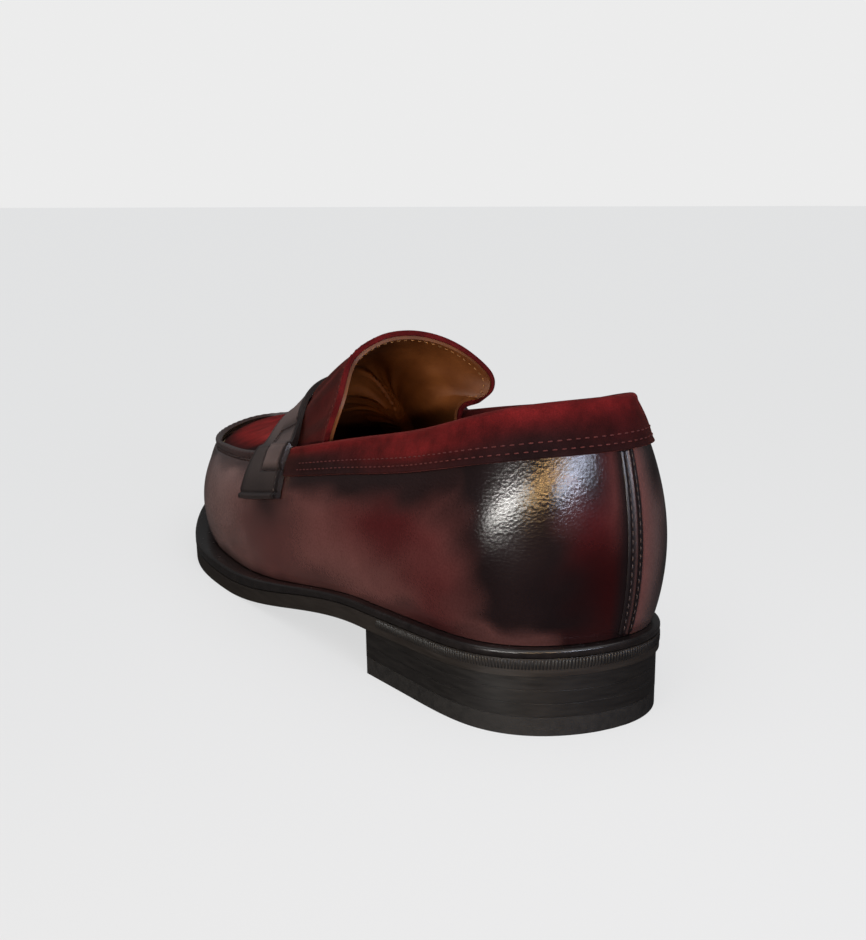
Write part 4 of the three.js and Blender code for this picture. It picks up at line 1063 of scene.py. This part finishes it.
G, S = np.meshgrid(np.linspace(0.2, 0.985, 170), np.linspace(0, 1, 90), indexing="ij")
A, B = wall_surface(outer_station(G), 1.0), wall_surface(inner_station(G), 1.0)
reach = np.linalg.norm(A - B, axis=-1)
inset = np.minimum(0.45, 1.6 / reach)
share = inset + (1 - 2 * inset) * S
rim = np.minimum(share, 1 - share) * reach
apron_face = drape(A, B, G, share, instep_height(G))
apron_face[..., 2] -= apron_recess(G) + 1.0 * bump(1.6, 1.6, rim)
apron_back = apron_face - [0, 0, 1.3]
# Darker near the sewn edge, partly stained and partly painted shade in the recess under the ridge; painted
# shade where it runs under and just ahead of the strap; darker towards the toe.
stain_and_shade = 0.95 * smooth(13, 2, rim) + 0.6 * smooth(0.4, 0.32, G) + 0.4 * smooth(0.6, 0.9, G)
apron_colour = blend_colours(np.broadcast_to(SUEDE_BRIGHT, G.shape + (3,)), SUEDE_DARK, stain_and_shade)
sheet("suede_apron", apron_face, apron_back, red_suede, ("apron",),
      bevel=0.3, paint=as_rgba(apron_colour))

# %% [markdown]
# ## Tongue
# The tongue is an arch of suede outside and tan leather inside that rises behind the strap and
# flares at its free edge, with an ear on the inner side before it dives inside the quarters. At its
# root it runs on under the apron, so that no gap shows between the two. Its lining has creased where
# it bends, so the inner face gets a few soft folds.

# %% tongue shape
TONGUE_FRONT, TONGUE_BEND, TONGUE_SEAT = 0.18, 0.09, 0.8
TONGUE_BEND_OFFSET, TONGUE_ROOT_OFFSET = -7.8, -5.4
TONGUE_RIM = np.array([
    [112, 43.5, 54], [112, 41.5, 67], [110, 37.5, 80], [116, 30, 92], [115, 20.5, 98.3],
    [114, 10, 99.8], [112, -0.5, 97.8], [109.5, -10, 92.8], [107, -17.8, 85.2],
    [107.5, -19, 79.2], [111, -16, 74.8], [113, -9.5, 71.5], [113, -10.5, 58],
])


def through(table, share):
    last = len(table) - 1
    x = np.clip(np.asarray(share, float) * last, 0, last - 1e-6)
    i = np.floor(x).astype(int)
    t = (x - i)[..., None]
    at = lambda n: table[np.clip(n, 0, last)]
    m0, m1 = (at(i + 1) - at(i - 1)) / 2, (at(i + 2) - at(i)) / 2
    return ((2 * t ** 3 - 3 * t ** 2 + 1) * at(i) + (t ** 3 - 2 * t ** 2 + t) * m0
            + (-2 * t ** 3 + 3 * t ** 2) * at(i + 1) + (t ** 3 - t ** 2) * m1)


def tongue_arch(g, s, offset):
    A = wall_point(outer_station(g), TONGUE_SEAT, offset)
    B = wall_point(inner_station(g), TONGUE_SEAT, offset)
    return bridge(A, B, s, instep_height(g), INSTEP_FULLNESS)


def tongue_surface(t, s):
    """t runs from 0 at the free rim to 1 under the strap and on beneath the apron; s goes outer to inner."""
    t, s = np.broadcast_arrays(np.asarray(t, float), np.asarray(s, float))
    rim = through(TONGUE_RIM, s)
    rim = place(rim[..., 0], rim[..., 1], rim[..., 2])
    bend = tongue_arch(np.full(s.shape, TONGUE_BEND), s, TONGUE_BEND_OFFSET)
    root = tongue_arch(np.full(s.shape, TONGUE_FRONT), s, TONGUE_ROOT_OFFSET)
    held = np.minimum(t, 1)[..., None]
    rising = (1 - held) ** 2 * rim + 2 * held * (1 - held) * bend + held ** 2 * root
    beyond = tongue_arch(TONGUE_FRONT + 0.18 * np.maximum(t - 1, 0), s, TONGUE_ROOT_OFFSET)
    beyond[..., 2] -= 4.7 * smooth(1.0, 1.2, t)
    return np.where((t > 1)[..., None], beyond, rising)


def tongue_point(t, s, depth):
    normal = normal_of(tongue_surface, np.maximum(t, 0.03), np.clip(s, 0.01, 0.99), 0.03, 0.01)
    return tongue_surface(t, s) + TONGUE_SIGN * normal * np.asarray(depth, float)[..., None]


TONGUE_SIGN = 1.0 if normal_of(tongue_surface, 0.5, 0.5, 0.03, 0.01)[2] < 0 else -1.0


# %% tongue
T, S = np.meshgrid(np.linspace(0, 1.3, 110), np.linspace(0, 1, 190), indexing="ij")
folds = 0.45 * np.sin(S * 40 + 5 * T) * bump(0.25, 0.2, S) * smooth(0.05, 0.3, T)
lip = 0.45 * bump(0.0, 0.05, T)
streaked = smooth(0.2, 0.9, np.sin(S * 62 + 3 * T)) * smooth(0.03, 0.2, T)
tongue_colour = np.broadcast_to(SUEDE_RED, S.shape + (3,))
# Painted shade: darker where the tongue runs in under the strap.
tongue_colour = blend_colours(tongue_colour, SUEDE_DARK, 0.8 * smooth(0.4, 0.9, T))
tongue_colour = blend_colours(tongue_colour, SUEDE_DARK, 0.8 * streaked)
# A painted highlight: lighter along the free rim.
tongue_colour = blend_colours(tongue_colour, SUEDE_BRIGHT, 0.25 * bump(0, 0.06, T))
suede_face = tongue_point(T, S, folds - lip)
suede_back = tongue_point(T, S, np.full(S.shape, 1.35))
sheet("suede_tongue", suede_face, suede_back, red_suede,
      ("tongue",), bevel=0.35, paint=as_rgba(tongue_colour))
fan = np.arctan2(S - 0.9, T - 0.95)
wrinkle = 0.45 * np.sin(15 * fan + 5 * T) * bump(0.62, 0.22, S) * smooth(0.05, 0.25, T)
wrinkle += 0.32 * np.sin(27 * fan - 4 * S) * bump(0.75, 0.15, S) * smooth(0.1, 0.3, T)
wrinkle += 0.25 * np.sin(9 * T + 14 * S) * bump(0.3, 0.2, S) * smooth(0.1, 0.4, T)
T = 0.012 + T * 1.19
tan_back = tongue_point(T, S, np.full(S.shape, 1.4))
sheet("tongue_lining_leather", tan_back, tongue_point(T, S, 2.5 + wrinkle), lining_leather,
      ("tongue_lining",), bevel=0.45)

# %% tongue edge stitches
s = np.linspace(0.1, 0.86, 500)
STITCH_LINE = 0.045
for name, depth, thread, slot in (
    ("tongue_thread_inner", 2.62, tan_thread, "lining_leather"),
    ("tongue_thread_outer", -0.42, red_thread, "red_suede"),
):
    line = tongue_point(np.full(s.shape, STITCH_LINE), s, np.full(s.shape, depth))
    below = tongue_point(np.full(s.shape, STITCH_LINE), s, np.full(s.shape, depth + 1))
    facing_out = (below - line) * (1 if depth > 0 else -1)
    stitches(name, line, facing_out, thread, pitch=2.4, length=1.4, radius=0.15)

# %% [markdown]
# ## Saddle strap
# The strap lies over the instep and ends in a wing on each side. Each wing is folded at its lower
# edge and carries a raised, padded panel edged by a sewn groove. In the middle is the slot that gives
# the penny loafer its name. The strap is a sheet over the instep curves with the panel, groove and
# edges added as relief.

# %% strap shape
WALL_SHARE, STRAP_LIFT = 0.3, 1.2
BACK_EDGE, FRONT_EDGE = (0.052, 0.168), (0.222, 0.113)
WING_BACK, WING_FRONT = 0.60, 0.55


def strap_surface(f, c):
    f, c = np.broadcast_arrays(np.asarray(f, float), np.asarray(c, float))
    on_top = (c - WALL_SHARE) / (1 - 2 * WALL_SHARE)
    sweep = np.sin(np.pi * np.clip(on_top, 0, 1))
    back, front = BACK_EDGE[0] + BACK_EDGE[1] * sweep, FRONT_EDGE[0] + FRONT_EDGE[1] * sweep
    g = back + (front - back) * f
    bottom = WING_BACK + (WING_FRONT - WING_BACK) * f
    outer, inner = outer_station(g), inner_station(g)
    low = wall_surface(outer, bottom + (1 - bottom) * np.minimum(c / WALL_SHARE, 1))
    high = wall_surface(inner, bottom + (1 - bottom) * np.minimum((1 - c) / WALL_SHARE, 1))
    outer_rim, inner_rim = wall_surface(outer, 1.0), wall_surface(inner, 1.0)
    top = drape(outer_rim, inner_rim, g, np.clip(on_top, 0, 1), instep_height(g) + STRAP_LIFT)
    return np.where((on_top <= 0)[..., None], low, np.where((on_top >= 1)[..., None], high, top))


STRAP_SIGN = 1.0 if normal_of(strap_surface, 0.5, 0.5, 0.05, 0.03)[2] > 0 else -1.0


def strap_normal(f, c):
    return STRAP_SIGN * normal_of(strap_surface, np.clip(f, 0.05, 0.95), np.clip(c, 0.03, 0.97), 0.05, 0.03)


def strap_point(f, c, offset):
    return strap_surface(f, c) + strap_normal(f, c) * np.asarray(offset, float)[..., None]


STRAP_GREY, STRAP_PALE = np.array([0.040, 0.031, 0.030]), np.array([0.150, 0.108, 0.103])


def box_edge(f, c):
    """Distance in mm, roughly, outside the sewn edge of the wing's padded panel; negative inside it."""
    arm = np.minimum(c, 1 - c)
    across = (f - 0.56 - 0.6 * (arm - 0.16)) * 28
    down = (0.163 - arm) * 75
    up = (arm - 0.352) * 75
    return np.maximum(np.hypot(np.maximum(across + 4, 0), np.maximum(up + 4, 0)) - 4, down)


# %% strap
F, C = np.meshgrid(np.linspace(0, 1, 110), np.linspace(0, 1, 520), indexing="ij")
edge = box_edge(F, C)
arm = np.minimum(C, 1 - C)
relief = 0.8 * smooth(0.0, -3.2, edge) - 0.45 * bump(0.25, 0.6, edge)
relief += 0.35 * bump(0.045, 0.022, F) - 0.35 * bump(0.105, 0.02, F)
relief += 0.4 * bump(0.016, 0.010, arm) - 0.4 * bump(0.036, 0.007, arm)
relief -= 0.15 * bump(0.96, 0.02, F)
strap_colour = blend_colours(np.broadcast_to(STRAP_GREY, F.shape + (3,)), STRAP_PALE, smooth(0.30, 0.40, arm))
strap_colour = blend_colours(strap_colour, STRAP_PALE, 0.6 * smooth(0.0, -3.0, edge))
strap_colour = blend_colours(strap_colour, BURNT_AND_SHADE, 0.9 * smooth(0.16, 0.04, F) + 0.6 * smooth(0.9, 1.0, F))
below_panel = smooth(0.2, 0.03, arm) * (edge > 0)
# Painted shade in the sewn grooves round the panel, along the folded lower edge and across the back of the
# strap; the wing is also darker towards its lower edge.
strap_colour = blend_colours(strap_colour, BURNT_AND_SHADE, 0.65 * bump(0.3, 0.7, edge) + 0.45 * below_panel)
strap_colour = blend_colours(strap_colour, BURNT_AND_SHADE, 0.6 * bump(0.036, 0.008, arm) + 0.4 * bump(0.105, 0.02, F))
strap_face = strap_point(F, C, 1.9 + relief)
strap_back = strap_point(F, C, np.full(F.shape, 0.4))
strap = sheet("saddle_strap_leather", strap_face, strap_back, strap_leather,
              ("saddle_strap",), bevel=0.45, paint=as_rgba(strap_colour))
print("strap faces:", len(strap.data.polygons))

# %% [markdown]
# ### The slot
# The slot is cut with a lens-shaped punch: a boolean difference against a thin prism, applied so that
# no hidden cutter is left in the scene.

# %% punch the slot
slot_at = strap_surface(0.5, 0.5)
SLOT_HALF_WIDTH, SLOT_HALF_LENGTH = 13, 4
share = np.linspace(-1, 1, 25)
far_side = np.stack([SLOT_HALF_WIDTH * share, SLOT_HALF_LENGTH * (1 - share ** 2)], -1)
lens = np.concatenate([far_side, -far_side[1:-1]])
low = np.column_stack([lens + slot_at[:2], np.full(len(lens), slot_at[2] - 20)])
high = low + [0, 0, 40]
n = len(lens)
faces = [list(range(n)), list(range(n, 2 * n))[::-1]]
faces += [[i + n, (i + 1) % n + n, (i + 1) % n, i] for i in range(n)]
punch_mesh = bpy.data.meshes.new("punch")
punch_mesh.from_pydata((np.concatenate([low, high]) * MM).tolist(), [], faces)
punch = bpy.data.objects.new("punch", punch_mesh)
bpy.context.scene.collection.objects.link(punch)
cutting = strap.modifiers.new("slot", "BOOLEAN")
cutting.operation, cutting.object, cutting.solver = "DIFFERENCE", punch, "EXACT"
strap.modifiers.move(len(strap.modifiers) - 1, 0)
bpy.context.view_layer.update()
with bpy.context.temp_override(object=strap, active_object=strap, selected_objects=[strap]):
    bpy.ops.object.modifier_apply(modifier="slot")
bpy.data.objects.remove(punch)
from_above = Vector(slot_at * MM) + Vector((0, 0, 0.05))
slot_shut = strap.ray_cast(from_above, Vector((0, 0, -1)), distance=0.06)[0]
print("strap faces after the punch:", len(strap.data.polygons))
print("the slot is", "shut" if slot_shut else "open")

# %% slot backing and strap stitches
G, S = np.meshgrid(np.linspace(0.235, 0.31, 20), np.linspace(0.26, 0.74, 40), indexing="ij")
outer_rim, inner_rim = wall_surface(outer_station(G), 1.0), wall_surface(inner_station(G), 1.0)
backing = drape(outer_rim, inner_rim, G, S, instep_height(G) + STRAP_LIFT)
backing_colour = as_rgba(np.broadcast_to(BURNT_AND_SHADE * 1.5, G.shape + (3,)))
sheet("slot_backing_leather", backing + [0, 0, 0.05], backing - [0, 0, 0.75], strap_leather,
      ("slot_backing",), paint=backing_colour)


def sew_strap(name, f, c, offset, thread, pitch, length, radius):
    line = strap_point(f, c, np.full(np.shape(c), offset))
    stitches(name, line, strap_normal(f, c), thread, pitch=pitch, length=length,
             radius=radius, sink=0.2)


up_panel, down_panel = np.linspace(0.06, 0.50, 40), np.linspace(0.60, 0.06, 40)
panel_f = np.concatenate([up_panel, np.linspace(0.56, 0.63, 60), down_panel])
panel_c = np.concatenate([np.full(40, 0.160), np.linspace(0.168, 0.30, 60), np.full(40, 0.3555)])
bead_c = np.linspace(0.03, 0.15, 60)
bead_f = np.full(60, 0.105)
for side in ("outer", "inner"):
    sew_strap("strap_panel_thread_" + side, panel_f, panel_c, 1.58, dark_thread, 2.4, 1.7, 0.22)
    sew_strap("strap_bead_thread_" + side, bead_f, bead_c, 1.62, pale_thread, 2.2, 1.2, 0.20)
    panel_c, bead_c = 1 - panel_c, 1 - bead_c
for name, f in (("strap_thread_back", 0.105), ("strap_thread_front", 0.96)):
    sew_strap(name, np.full(300, f), np.linspace(0.36, 0.64, 300), 1.65, dark_thread, 2.5, 1.7, 0.22)

# %% [markdown]
# ## Hidden pieces
# Counter, toe puff, cork, filler, shank and nails keep the plain solids of the frame, since nothing of
# them shows, and take their real materials.

# %% materials of the carried-over nodes
hidden = {
    "heel_counter": stiffener_board, "toe_puff": stiffener_board, "forepart_cork": cork,
    "heel_seat_filler": insole_leather, "shank": shank_steel,
}
hidden.update({f"heel_nail_{i}": nail_brass for i in range(1, 6)})
for node, material in hidden.items():
    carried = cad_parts[node]
    carried.data.materials.clear()
    carried.data.materials.append(material)
print("carried over:", len(hidden), "nodes")

# %% [markdown]
# ## Floor and light
# One broad soft light stands overhead and three long narrow lights draw the slanting streaks on the
# polished counter. Floor and surround look pale to the camera but are dark to every other ray. That
# is not how a real studio behaves: it keeps a bright background from greying the dark, shiny leather,
# as black cards held beside the shoe would.

# %% floor
floor_mesh = bpy.data.meshes.new("floor")
far = 30.0
floor_mesh.from_pydata([(-far, -far, 0), (far, -far, 0), (far, far, 0), (-far, far, 0)], [], [[0, 1, 2, 3]])
floor = bpy.data.objects.new("floor", floor_mesh)
bpy.context.scene.collection.objects.link(floor)
floor_paint, floor_tree, floor_shader, _ = new_material("pale_floor")
floor_rays = floor_tree.nodes.new("ShaderNodeLightPath").outputs["Is Camera Ray"]
matte = mix(floor_tree, "MIX", floor_rays, (0.05, 0.05, 0.05), (0.16, 0.16, 0.16))
glow = mix(floor_tree, "MIX", floor_rays, (0.0, 0.0, 0.0), (0.635, 0.64, 0.645))
floor_tree.links.new(matte, floor_shader.inputs["Base Color"])
floor_tree.links.new(glow, floor_shader.inputs["Emission Color"])
floor_shader.inputs["Emission Strength"].default_value = 1.0
floor_shader.inputs["Roughness"].default_value = 1.0
floor_shader.inputs["Specular IOR Level"].default_value = 0.0
floor.data.materials.append(floor_paint)

# %% surround and sky
world = bpy.data.worlds.new("pale_surround")
bpy.context.scene.world = world
world.use_nodes = True
tree = world.node_tree
tree.nodes.clear()
seen = tree.nodes.new("ShaderNodeBackground")
lit = tree.nodes.new("ShaderNodeBackground")
seen.inputs["Color"].default_value = (0.84, 0.84, 0.84, 1.0)
lit.inputs["Color"].default_value = (0.98, 0.99, 1.0, 1.0)
lit.inputs["Strength"].default_value = 0.10
rays = tree.nodes.new("ShaderNodeLightPath")
choice = tree.nodes.new("ShaderNodeMixShader")
out = tree.nodes.new("ShaderNodeOutputWorld")
tree.links.new(rays.outputs["Is Camera Ray"], choice.inputs[0])
tree.links.new(lit.outputs[0], choice.inputs[1])
tree.links.new(seen.outputs[0], choice.inputs[2])
tree.links.new(choice.outputs[0], out.inputs["Surface"])
bpy.context.scene.view_settings.view_transform = "Standard"
sky_data = bpy.data.lights.new("overhead_light", "SUN")
sky_data.energy, sky_data.angle = 2.2, math.radians(90)
sky = bpy.data.objects.new("overhead_light", sky_data)
sky.rotation_euler = (math.radians(-14), math.radians(10), 0)
bpy.context.scene.collection.objects.link(sky)

# %% streak lights
STREAK_DISTANCE = 0.6


def area_light(name, place_at, aim_at, width, height, power, colour, long_axis):
    data = bpy.data.lights.new(name, "AREA")
    data.shape = "RECTANGLE"
    data.size, data.size_y = width, height
    data.energy, data.color = power, colour
    data.spread = math.radians(60)
    lamp = bpy.data.objects.new(name, data)
    bpy.context.scene.collection.objects.link(lamp)
    back = (Vector(place_at) - Vector(aim_at)).normalized()
    tall = Vector(long_axis)
    tall = (tall - back * tall.dot(back)).normalized()
    wide = tall.cross(back)
    lamp.matrix_world = Matrix((wide, tall, back)).transposed().to_4x4()
    lamp.location = place_at


def mirrored(station, v):
    """A place of the wall, and where a light must stand to be seen mirrored in it."""
    point, normal = wall_surface(station, v) * MM, wall_normal(station, v)
    to_camera = np.array(camera.location) - point
    to_camera /= np.linalg.norm(to_camera)
    return point, point + (2 * normal.dot(to_camera) * normal - to_camera) * STREAK_DISTANCE


for name, top, bottom, width, power, colour in (
    ("window_streak", (1.12, 0.70), (2.02, 0.46), 0.016, 0.60, (1.0, 0.98, 0.94)),
    ("warm_streak", (0.80, 0.77), (1.40, 0.58), 0.012, 0.26, (1.0, 0.62, 0.26)),
    ("cool_streak", (0.54, 0.80), (1.00, 0.62), 0.018, 0.34, (0.72, 0.80, 1.0)),
):
    (p1, l1), (p2, l2) = mirrored(*top), mirrored(*bottom)
    middle, length = (l1 + l2) / 2, float(np.linalg.norm(l1 - l2))
    area_light(name, middle, (p1 + p2) / 2, width, length, power, colour, l1 - l2)
    print(name, "stands at", np.round(middle, 2), "and is", round(length, 2), "m long")
